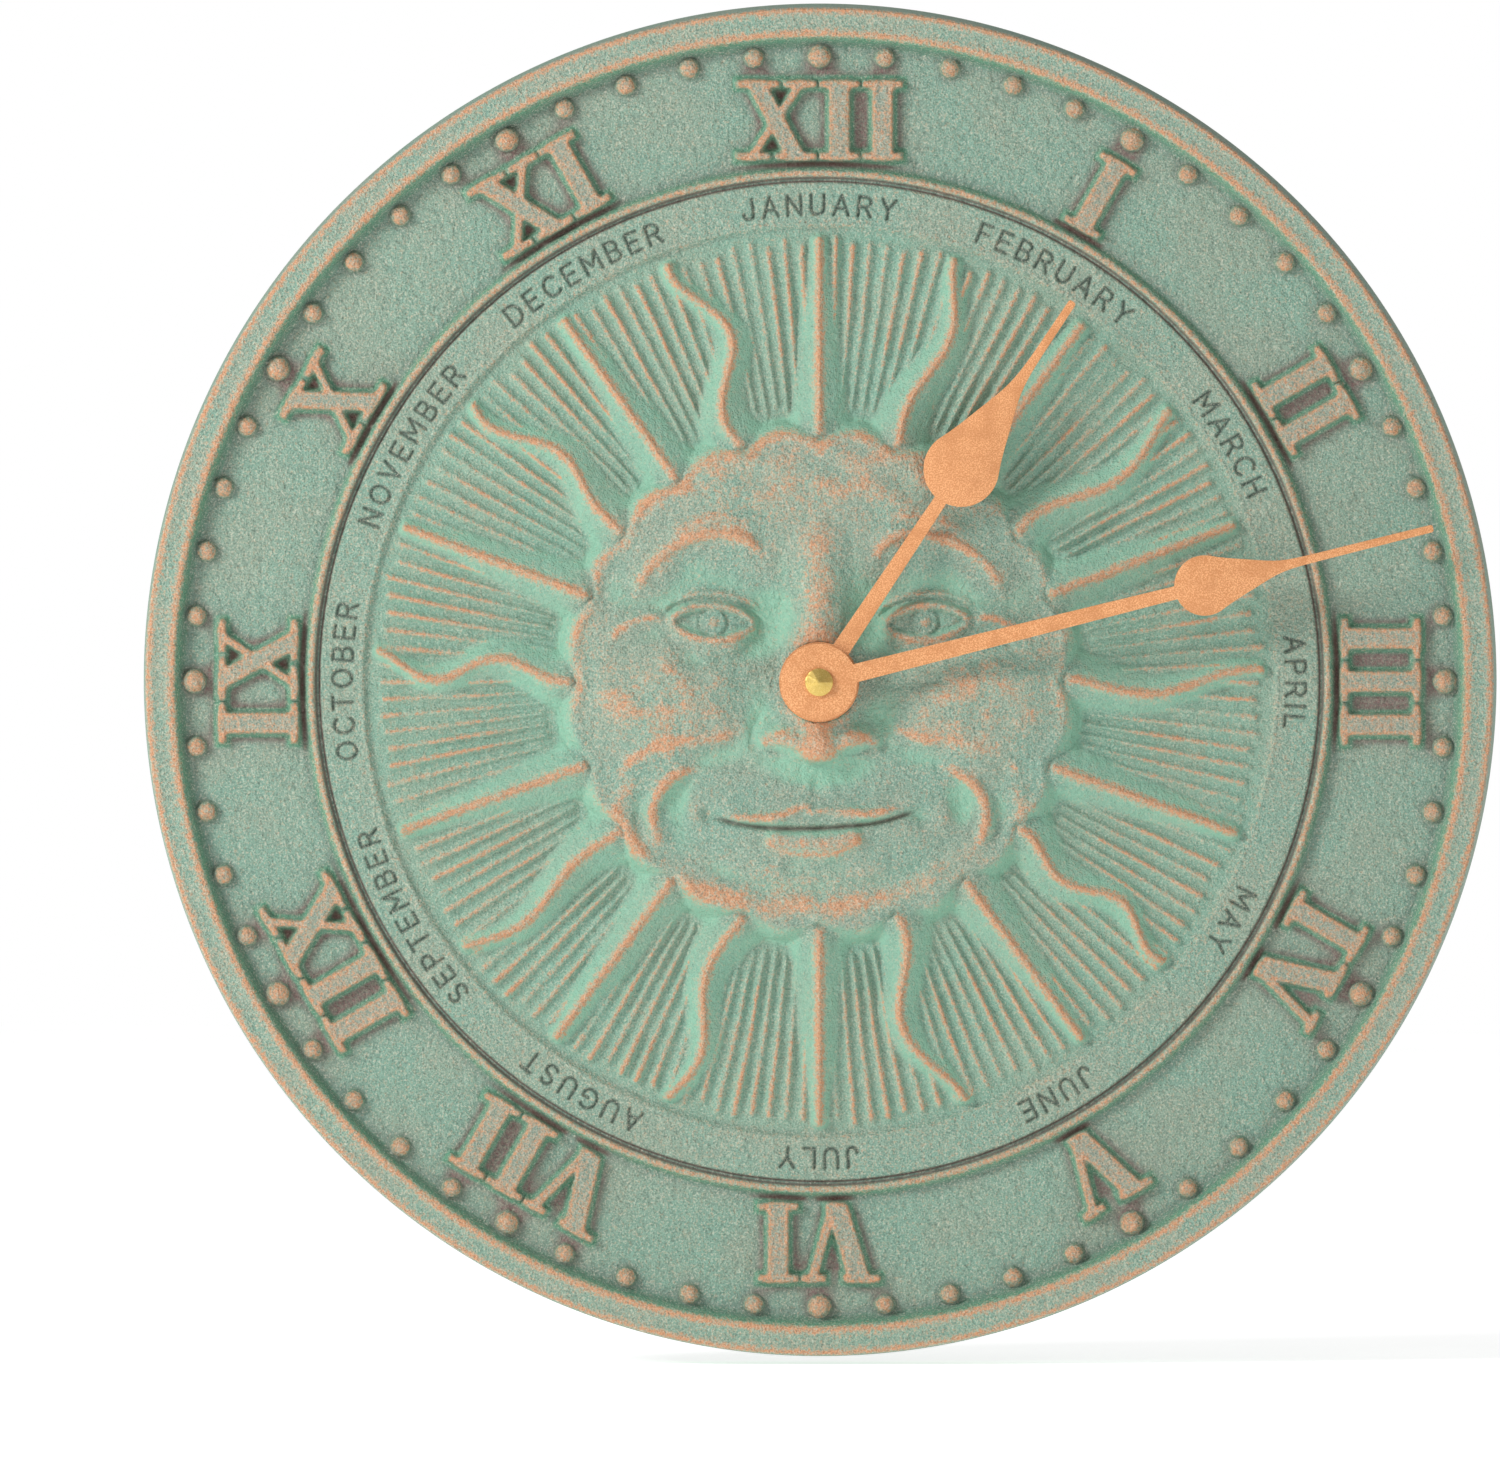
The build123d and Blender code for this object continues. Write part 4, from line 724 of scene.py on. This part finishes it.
def relief_piece(name, r_in, r_out, start, end, rings, spokes, bottom_t):
    """A closed piece of the casting's front between two radii and two angles, its back flat at bottom_t."""
    whole = end - start >= 360
    radii = np.linspace(r_in, r_out, rings + 1)
    angles = np.radians(np.linspace(start, end, spokes + 1))
    if whole:
        angles = angles[:-1]
    columns = len(angles)
    a, r = np.meshgrid(angles, radii)
    x, z = (r * np.sin(a)).ravel(), (r * np.cos(a)).ravel()
    top = np.stack([x, -relief(x, z)[0], z], axis=1)
    low = []
    bottom = np.full(columns, -bottom_t)
    for ring_r in (r_in, r_out):
        low.append(np.stack([ring_r * np.sin(angles), bottom, ring_r * np.cos(angles)], axis=1))
    vertices = np.concatenate([top] + low) * MM
    inner_low = len(top)
    outer_low = inner_low + columns
    last_row = rings * columns
    faces, smooth = [], []
    wrap = columns if whole else columns - 1
    for k in range(wrap):
        n = (k + 1) % columns
        for row in range(rings):
            here, above = row * columns, (row + 1) * columns
            faces.append((here + k, here + n, above + n, above + k))
            smooth.append(True)
        faces.append((k, inner_low + k, inner_low + n, n))
        faces.append((last_row + k, last_row + n, outer_low + n, outer_low + k))
        faces.append((inner_low + k, outer_low + k, outer_low + n, inner_low + n))
        smooth += [False] * 3
    if not whole:
        last = columns - 1
        faces.append([row * columns for row in range(rings + 1)] + [outer_low, inner_low])
        faces.append([inner_low + last, outer_low + last]
                     + [row * columns + last for row in range(rings, -1, -1)])
        smooth += [False] * 2
    obj = new_object(name, vertices, faces, smooth)
    # both edges of the ring groove are darkened as well: painted shade in the groove
    groove = np.exp(-((np.abs(r.ravel() - GROOVE_R) - GROOVE_HALF_WIDTH) / 0.22) ** 2)
    for mask, grid in MASKS.items():
        values = sample_mask(grid, x, z)
        if mask == "groove_patina_and_shade":
            values = np.maximum(values, groove)
        add_mask(obj.data, mask, np.concatenate([values, np.zeros(2 * columns)]))
    mark_flat_borders(obj.data)
    return obj


def mark_flat_borders(mesh):
    """Edges between a smooth and a flat face are sharp, so the smooth side's shading stays its own."""
    b = bmesh.new()
    b.from_mesh(mesh)
    bmesh.ops.recalc_face_normals(b, faces=b.faces)
    for edge in b.edges:
        edge.smooth = all(f.smooth for f in edge.link_faces)
    b.to_mesh(mesh)
    b.free()


def revolved(name, profile, spokes, sharp_angle=35):
    """A closed ring or body turned round the shaft from a profile of (r, t) points."""
    points = np.array(profile, float)
    angles = 2 * pi * np.arange(spokes) / spokes
    r, a = np.meshgrid(points[:, 0], angles)
    t, _ = np.meshgrid(points[:, 1], angles)
    vertices = np.stack([r * np.sin(a), -t, r * np.cos(a)], axis=-1).reshape(-1, 3) * MM
    count = len(points)
    faces = []
    for k in range(spokes):
        n = (k + 1) % spokes
        for j in range(count):
            m = (j + 1) % count
            faces.append((k * count + j, k * count + m, n * count + m, n * count + j))
    obj = new_object(name, vertices, faces)
    b = bmesh.new()
    b.from_mesh(obj.data)
    bmesh.ops.remove_doubles(b, verts=b.verts, dist=1e-7)
    bmesh.ops.dissolve_degenerate(b, edges=b.edges, dist=1e-7)
    bmesh.ops.recalc_face_normals(b, faces=b.faces)
    for edge in b.edges:
        if len(edge.link_faces) == 2 and edge.calc_face_angle(0) > radians(sharp_angle):
            edge.smooth = False
    b.to_mesh(obj.data)
    b.free()
    return obj


def casting_pieces():
    """The casting's front as closed pieces that meet on its rings: face, sunburst, month ring and channel."""
    pieces = [relief_piece("sun_face", SHAFT_HOLE_R, FACE_PIECE_R, 0, 360, 150, 600, PAD_T)]
    pieces.append(relief_piece("sunburst", FACE_PIECE_R, SUNBURST_END_R, 0, 360, 66, 1440, RELIEF_BACK_T))
    rings = (("month_ring", SUNBURST_END_R, GROOVE_R, 54, 840),
             ("channel", GROOVE_R, CHANNEL_END_R, 120, 760))
    for name, r_in, r_out, rows, spokes in rings:
        for k in range(4):
            start = 15 + 90 * k
            pieces.append(relief_piece(f"{name}_{k + 1}", r_in, r_out, start, start + 90, rows, spokes,
                                       RELIEF_BACK_T))
    return pieces


def shell_piece():
    """The casting's rim, skirt and back: everything behind the relief."""
    rim = [(r, float(ring_height(np.array([r]))[0])) for r in np.linspace(CHANNEL_END_R, 150.6, 22)]
    outer = [(151.0, 23.92), (151.35, 23.55), (151.55, 23.1)]
    skirt = [(151.55 + 0.85 * s, 23.1 - 21.6 * s) for s in np.linspace(0.05, 1, 20)]
    back = [(DIAL_R, 0.6), (DIAL_R - 0.5, 0.0), (SKIRT_INNER_R + 0.4, 0.0), (SKIRT_INNER_R, 0.5)]
    inside = [(SKIRT_INNER_R - 0.9 * s, 0.5 + 14.5 * s) for s in np.linspace(0.1, 1, 10)]
    inside += [(147.6, 16.2), (146.8, PLATE_BACK_T)]
    plate = [(r, PLATE_BACK_T) for r in np.linspace(145, COLLAR_R + 1.2, 40)]
    collar = [(COLLAR_R, 15.8), (COLLAR_R, COLLAR_END_T + 0.4), (COLLAR_R - 0.4, COLLAR_END_T),
              (COLLAR_R - COLLAR_WALL + 0.4, COLLAR_END_T), (COLLAR_R - COLLAR_WALL, COLLAR_END_T + 0.4)]
    collar += [(COLLAR_R - COLLAR_WALL, PAD_T - 0.05), (SHAFT_HOLE_R, PAD_T - 0.05), (SHAFT_HOLE_R, PAD_T)]
    front = [(FACE_PIECE_R, PAD_T), (FACE_PIECE_R, RELIEF_BACK_T), (CHANNEL_END_R, RELIEF_BACK_T)]
    obj = revolved("casting_shell", rim + outer + skirt + back + inside + plate + collar + front, 720)
    places = np.empty(3 * len(obj.data.vertices))
    obj.data.vertices.foreach_get("co", places)
    x, y, z = places.reshape(-1, 3).T / MM
    r = np.hypot(x, z)
    front_share = smoothstep((-y - 21) / 1.5) * (r > CHANNEL_END_R - 0.5)
    edge = 0.45 * np.exp(-((r - 151.0) / 0.45) ** 2) * (-y > 21.5)
    for mask, grid in MASKS.items():
        values = sample_mask(grid, x, z) * front_share
        add_mask(obj.data, mask, np.clip(values + edge, 0, 1) if mask == "wear" else values)
    return obj


def hanger_bosses():
    """The two bosses behind the dial that the hanger's screws go into, each with a blind hole."""
    profile = [(1.55, 4.6), (1.55, 12.0), (0.0, 12.0), (0.0, 17.4), (6.6, 17.4), (6.6, PLATE_BACK_T),
               (5.6, 16.5), (4.8, 15.8), (4.35, 14.8), (4.2, 13.6), (4.2, 4.9), (3.9, 4.6)]
    bosses = []
    for name, x in (("hanger_boss_left", -16.0), ("hanger_boss_right", 16.0)):
        obj = revolved(name, profile, 64)
        for vertex in obj.data.vertices:
            vertex.co += Vector((x, 0, 120.0)) * MM
        bosses.append(obj)
    return bosses


def cap_nut_piece():
    """The brass cap nut: a round foot under a blunt cone with twelve flat sides."""
    low_t, foot_t, cone_t, tip_t, bore_t = 32.9, 33.55, 33.68, 36.0, 34.65
    bore_r = 1.45
    profile = [(bore_r, low_t), (3.04, low_t), (3.1, low_t + 0.06), (3.1, foot_t), (3.0, cone_t),
               (0.3, tip_t - 0.04), (0.0, tip_t), (0.0, bore_t), (bore_r, bore_t)]
    obj = revolved("cap_nut", profile, 96, 9)
    for vertex in obj.data.vertices:
        x, y, z = vertex.co / MM
        r = hypot(x, z)
        in_bore = abs(r - bore_r) < 0.02 and -y < bore_t + 0.01
        if -y > cone_t - 0.01 and r > 0.2 and not in_bore:
            turn = degrees(atan2(x, z)) % 30 - 15
            flat = cos(radians(15)) / cos(radians(turn))
            vertex.co.x *= flat
            vertex.co.z *= flat
    return obj


def softened(node, width, angle=30):
    """A copy of a CAD node with its crisp edges rounded off by width, in millimetres."""
    source = frame["nodes"][node]
    obj = source.copy()
    obj.data = source.data.copy()
    obj.name = node + "_soft"
    obj.parent = None
    obj.matrix_world = source.matrix_world.copy()
    bpy.context.collection.objects.link(obj)
    b = bmesh.new()
    b.from_mesh(obj.data)
    bmesh.ops.remove_doubles(b, verts=b.verts, dist=1e-6)
    bmesh.ops.dissolve_limit(b, angle_limit=radians(1.0), verts=b.verts, edges=b.edges)
    crisp = [e for e in b.edges if len(e.link_faces) == 2 and e.calc_face_angle(0) > radians(angle)]
    bmesh.ops.bevel(b, geom=crisp, offset=width * MM, segments=2, profile=0.6, affect="EDGES",
                    clamp_overlap=True)
    bmesh.ops.triangulate(b, faces=[f for f in b.faces if len(f.verts) > 4])
    for f in b.faces:
        f.smooth = True
    for e in b.edges:
        e.smooth = len(e.link_faces) == 2 and e.calc_face_angle(0) < radians(38)
    b.to_mesh(obj.data)
    b.free()
    return obj


# ---- materials ----
def linear(rgb):
    """A display colour, 0 to 255, as the linear colour that a shader takes."""
    parts = [c / 255 for c in rgb]
    return tuple(p / 12.92 if p <= 0.04045 else ((p + 0.055) / 1.055) ** 2.4 for p in parts) + (1.0,)


class Paint:
    """A procedural material, built one node at a time."""

    def __init__(self, name):
        self.material = bpy.data.materials.new(name)
        self.material.use_nodes = True
        self.tree = self.material.node_tree
        self.shader = self.tree.nodes["Principled BSDF"]
        self.place = self.tree.nodes.new("ShaderNodeTexCoord").outputs["Object"]

    def put(self, socket, value):
        if isinstance(value, bpy.types.NodeSocket):
            self.tree.links.new(value, socket)
        else:
            socket.default_value = value

    def attribute(self, name):
        node = self.tree.nodes.new("ShaderNodeAttribute")
        node.attribute_name = name
        return node.outputs["Fac"]

    def noise(self, size, detail=2.0, roughness=0.5, stretch=None):
        """Noise from 0 to 1 whose lumps are about size millimetres across."""
        node = self.tree.nodes.new("ShaderNodeTexNoise")
        node.inputs["Scale"].default_value = 1 / (size * MM)
        node.inputs["Detail"].default_value = detail
        node.inputs["Roughness"].default_value = roughness
        place = self.place
        if stretch:
            mapping = self.tree.nodes.new("ShaderNodeMapping")
            mapping.inputs["Scale"].default_value = stretch
            self.tree.links.new(place, mapping.inputs["Vector"])
            place = mapping.outputs["Vector"]
        self.tree.links.new(place, node.inputs["Vector"])
        return node.outputs["Fac"]

    def math(self, operation, a, b=0.0, c=0.0, clamp=False):
        node = self.tree.nodes.new("ShaderNodeMath")
        node.operation = operation
        node.use_clamp = clamp
        for socket, value in zip(node.inputs, (a, b, c)):
            self.put(socket, value)
        return node.outputs[0]

    def times(self, a, b, clamp=False):
        return self.math("MULTIPLY", a, b, clamp=clamp)

    def band(self, value, low, high, to_low=0.0, to_high=1.0):
        """value from low to high, taken smoothly to to_low and to_high."""
        node = self.tree.nodes.new("ShaderNodeMapRange")
        node.interpolation_type = "SMOOTHSTEP"
        names = ("Value", "From Min", "From Max", "To Min", "To Max")
        for name, v in zip(names, (value, low, high, to_low, to_high)):
            self.put(node.inputs[name], v)
        return node.outputs["Result"]

    def mix(self, share, a, b):
        node = self.tree.nodes.new("ShaderNodeMix")
        node.data_type = "RGBA"
        self.put(node.inputs[0], share)
        self.put(node.inputs[6], a if isinstance(a, bpy.types.NodeSocket) else linear(a))
        self.put(node.inputs[7], b if isinstance(b, bpy.types.NodeSocket) else linear(b))
        return node.outputs[2]

    def bump(self, height, depth, under=None):
        """A bump whose full height is depth millimetres."""
        node = self.tree.nodes.new("ShaderNodeBump")
        node.inputs["Distance"].default_value = depth * MM
        self.tree.links.new(height, node.inputs["Height"])
        if under:
            self.tree.links.new(under, node.inputs["Normal"])
        return node.outputs["Normal"]

    def finish(self, color, roughness, metallic=0.0, normal=None, specular=0.5):
        self.put(self.shader.inputs["Base Color"], color)
        self.put(self.shader.inputs["Roughness"], roughness)
        self.put(self.shader.inputs["Metallic"], metallic)
        self.shader.inputs["Specular IOR Level"].default_value = specular
        if normal:
            self.put(self.shader.inputs["Normal"], normal)
        return self.material


VERDIGRIS = (140, 164, 146)
MINT = (129, 167, 149)
CLEAN_MINT = (140, 193, 166)
GREEN = (78, 150, 116)
TAN = (176, 158, 128)
# brownish purple for stains on the channel floor, with painted shade near the raised numerals and pips
STAIN_AND_FLOOR_SHADE = (132, 102, 98)
# dark brown for the narrow grooves and gaps: patina, with painted shade
GROOVE_PATINA_AND_SHADE = (96, 54, 52)
COPPER = (214, 150, 108)
# grey for painted shade in the creases, and the muted grey of the raised tops
CREASE_SHADE_AND_TOP_GREY = (116, 130, 122)
# a pale cream for the painted highlight on the tops of the fine grain
GRAIN_HIGHLIGHT = (218, 214, 194)
PALE = (198, 194, 170)
# a dark green-grey for the painted shade in the pits of the fine grain
SHADE = (84, 100, 92)
LETTER = (62, 74, 66)


def cast_verdigris():
    """Copper under a verdigris wash: worn on the edges, green on the walls, brown patina in the recesses with
    painted shade there, grey painted shade in the creases, and painted shade and highlights on the fine
    grain.
    """
    p = Paint("verdigris_copper_cast")
    wear, crease_shade_and_top_grey, letters = p.attribute("wear"), p.attribute("crease_shade_and_top_grey"), p.attribute("letters")
    steep, smooth, stain_and_floor_shade, groove_patina_and_shade = (p.attribute(name) for name in ("steep", "smooth", "stain_and_floor_shade", "groove_patina_and_shade"))
    broad = p.noise(14.0, 3.0)
    middle = p.noise(2.4, 3.0)
    grain = p.noise(0.72, 3.0, 0.65)
    fine = p.noise(0.42, 2.0, 0.6)
    # the shares of the grain's painted shade and painted highlight, smaller in clean, dark and stained places
    rough_share = p.times(p.band(smooth, 0.1, 0.8, 1.0, 0.25), p.band(groove_patina_and_shade, 0.0, 0.8, 1.0, 0.25))
    highlight_share = p.times(rough_share, p.band(stain_and_floor_shade, 0.0, 0.8, 1.0, 0.4))
    color = p.mix(p.band(broad, 0.35, 0.65), VERDIGRIS, MINT)
    color = p.mix(p.band(grain, 0.5, 0.72, 0.0, 0.5), color, TAN)
    color = p.mix(p.times(steep, p.band(middle, 0.3, 0.6, 0.5, 0.85)), color, GREEN)
    # painted shade: grey in the creases, and a grey tone on the raised tops
    color = p.mix(p.times(crease_shade_and_top_grey, p.band(fine, 0.35, 0.62, 0.25, 0.65)), color, CREASE_SHADE_AND_TOP_GREY)
    color = p.mix(p.times(smooth, 0.8), color, CLEAN_MINT)
    # stain on the channel floor, with painted shade near and between the raised numerals and pips
    color = p.mix(p.times(stain_and_floor_shade, p.band(grain, 0.34, 0.62, 1.0, 0.6), clamp=True), color, STAIN_AND_FLOOR_SHADE)
    worn = p.math("ADD", wear, p.times(p.math("SUBTRACT", grain, 0.5), 2.1))
    worn = p.math("ADD", worn, p.times(p.math("SUBTRACT", middle, 0.5), 0.7))
    color = p.mix(p.band(worn, 0.0, 0.6, 0.0, 0.3), color, PALE)
    color = p.mix(p.band(worn, 0.3, 1.15, 0.0, 0.92), color, COPPER)
    color = p.mix(p.times(letters, p.band(grain, 0.3, 0.6, 1.0, 0.75)), color, LETTER)
    # dark brown patina with painted shade in the narrow grooves, gaps, counters and mouth line
    color = p.mix(p.times(groove_patina_and_shade, p.band(grain, 0.3, 0.6, 1.0, 0.8), clamp=True), color, GROOVE_PATINA_AND_SHADE)
    # painted shade in the pits and painted highlight on the tops of the fine grain, which also drives the
    # bump below
    color = p.mix(p.times(p.band(fine, 0.28, 0.5, 0.55, 0.0), rough_share), color, SHADE)
    color = p.mix(p.times(p.band(fine, 0.52, 0.7, 0.0, 0.55), highlight_share), color, GRAIN_HIGHLIGHT)
    pebbles = p.bump(p.noise(1.3, 3.0, 0.6), 0.6)
    normal = p.bump(fine, 0.42, pebbles)
    return p.finish(color, p.band(grain, 0.3, 0.7, 0.5, 0.68), 0.0, normal, 0.42)


def speckled(name, base, flecks, roughness=0.5, metallic=0.0, grain_size=0.4, depth=0.015, specular=0.5,
             stretch=None):
    """A plain finish with fine flecks of a second colour and a slight grain."""
    p = Paint(name)
    grain = p.noise(grain_size, 2.0, 0.6, stretch)
    broad = p.noise(grain_size * 14, 2.0)
    color = p.mix(p.band(grain, 0.4, 0.68), base, flecks)
    dull = tuple(int(c * 0.95) for c in base)
    color = p.mix(p.times(p.band(broad, 0.4, 0.7), 0.5), color, dull)
    rough = p.band(grain, 0.3, 0.7, roughness * 0.85, min(1.0, roughness * 1.15))
    return p.finish(color, rough, metallic, p.bump(grain, depth), specular)


# Each plain finish: its colour and its flecks, then roughness, metallic, grain size, bump depth and so on
FINISHES = {
    "hand_copper": ((208, 138, 86), (242, 182, 130), 0.55, 0.0, 0.32, 0.02, 0.4),
    "brass": ((214, 182, 96), (232, 206, 130), 0.34, 0.85, 0.25, 0.002),
    "zinc_steel": ((150, 153, 156), (182, 184, 186), 0.36, 1.0, 0.35, 0.003, 0.5,
                   (1.0, 1.0, 0.12)),
    "black_plastic": ((22, 22, 23), (36, 36, 37), 0.5, 0.0, 0.35, 0.02),
    "white_plastic": ((206, 204, 194), (222, 220, 212), 0.42, 0.0, 0.8, 0.004),
    "black_rubber": ((16, 16, 16), (28, 28, 27), 0.82, 0.0, 0.3, 0.02, 0.3),
    "battery_label": ((34, 56, 92), (46, 70, 108), 0.28, 0.0, 0.6, 0.002),
    "spring_steel": ((190, 190, 188), (212, 212, 210), 0.2, 1.0, 0.3, 0.002),
    "circuit_board": ((20, 78, 40), (34, 98, 54), 0.35, 0.0, 0.9, 0.004),
    "black_epoxy": ((10, 10, 11), (18, 18, 19), 0.16, 0.0, 0.9, 0.006),
    "copper_wire": ((176, 84, 40), (208, 112, 60), 0.3, 1.0, 0.22, 0.03, 0.5,
                    (1.0, 1.0, 0.08)),
    "soft_iron": ((112, 112, 114), (134, 134, 136), 0.4, 1.0, 0.3, 0.004),
    "ferrite": ((30, 30, 33), (44, 44, 47), 0.62, 0.0, 0.3, 0.012),
}
MATERIALS = {name: speckled(name, *finish) for name, finish in FINISHES.items()}
MATERIALS["verdigris_copper_cast"] = cast_verdigris()
SLOTS = {part["node"]: part["material_slot"] for part in frame["record"]["subparts"]}


def dress(obj, slot):
    obj.data.materials.clear()
    obj.data.materials.append(MATERIALS[slot])


# ---- the object ----
for node, obj in frame["nodes"].items():
    dress(obj, SLOTS[node])

for piece in casting_pieces() + hanger_bosses() + [shell_piece()]:
    dress(piece, "verdigris_copper_cast")
    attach(piece, "dial")
    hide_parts("dial_casting")

# The nodes with finer stand-ins: how far their edges are rounded, or None for a shape of its own
FINER = {"hour_hand": 0.12, "minute_hand": 0.12, "hand_nut": None, "movement_cover": 0.4,
         "setting_knob": 0.15}
for node, width in FINER.items():
    body = next(name for name, nodes in frame["record"]["behaviour"]["bodies"].items() if node in nodes)
    piece = softened(node, width) if width else cap_nut_piece()
    dress(piece, SLOTS[node])
    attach(piece, body)
    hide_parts(node)


# ---- studio ----
def area_light(name, place, target, size, power, color=(1, 1, 1)):
    light = bpy.data.lights.new(name, "AREA")
    light.shape = "RECTANGLE"
    light.size, light.size_y = size
    light.energy = power
    light.color = color
    obj = bpy.data.objects.new(name, light)
    bpy.context.collection.objects.link(obj)
    obj.location = place
    obj.rotation_euler = (Vector(target) - Vector(place)).to_track_quat("-Z", "Y").to_euler()


def studio():
    """White surroundings, a pale floor under the rim, and large soft lights from the upper left."""
    world = bpy.data.worlds.new("studio")
    world.use_nodes = True
    tree = world.node_tree
    background = tree.nodes["Background"]
    background.inputs["Color"].default_value = (1, 1, 1, 1)
    path = tree.nodes.new("ShaderNodeLightPath")
    level = tree.nodes.new("ShaderNodeMapRange")
    level.inputs["To Min"].default_value = 0.41
    level.inputs["To Max"].default_value = 1.0
    tree.links.new(path.outputs["Is Camera Ray"], level.inputs["Value"])
    tree.links.new(level.outputs["Result"], background.inputs["Strength"])
    bpy.context.scene.world = world
    middle = (0, -0.02, 0)
    area_light("key", (-1.15, -0.8, 0.6), middle, (0.4, 0.4), 15.4)
    area_light("fill", (0.9, -1.2, -0.2), middle, (1.0, 1.0), 1.5)
    size, low = 3.0, -0.1536
    corners = [(-size, -size, low), (size, -size, low), (size, size, low), (-size, size, low)]
    floor = new_object("floor", corners, [(0, 1, 2, 3)])
    white = Paint("studio_floor")
    color = white.mix(white.band(white.noise(60.0), 0.3, 0.7), (247, 247, 247), (251, 251, 251))
    white.shader.inputs["Emission Color"].default_value = (1, 1, 1, 1)
    white.shader.inputs["Emission Strength"].default_value = 0.6
    floor.data.materials.append(white.finish(color, 0.9, 0.0, None, 0.1))


def camera():
    """A long lens almost straight in front of the dial, a little to the right and above."""
    view_size, sensor, focal = 0.33803, 36.0, 900.0
    right, above = radians(0.5), radians(1.0)
    aim = Vector((-0.0158, 0, -0.0123))
    toward = Vector((sin(right) * cos(above), -cos(right) * cos(above), sin(above)))
    data = bpy.data.cameras.new("camera")
    data.sensor_width = sensor
    data.lens = focal
    data.clip_end = 20
    obj = bpy.data.objects.new("camera", data)
    bpy.context.collection.objects.link(obj)
    obj.location = aim + toward * view_size / sensor * focal
    obj.rotation_euler = (-toward).to_track_quat("-Z", "Y").to_euler()
    bpy.context.scene.camera = obj


studio()
camera()
bpy.context.scene.view_settings.view_transform = "Standard"
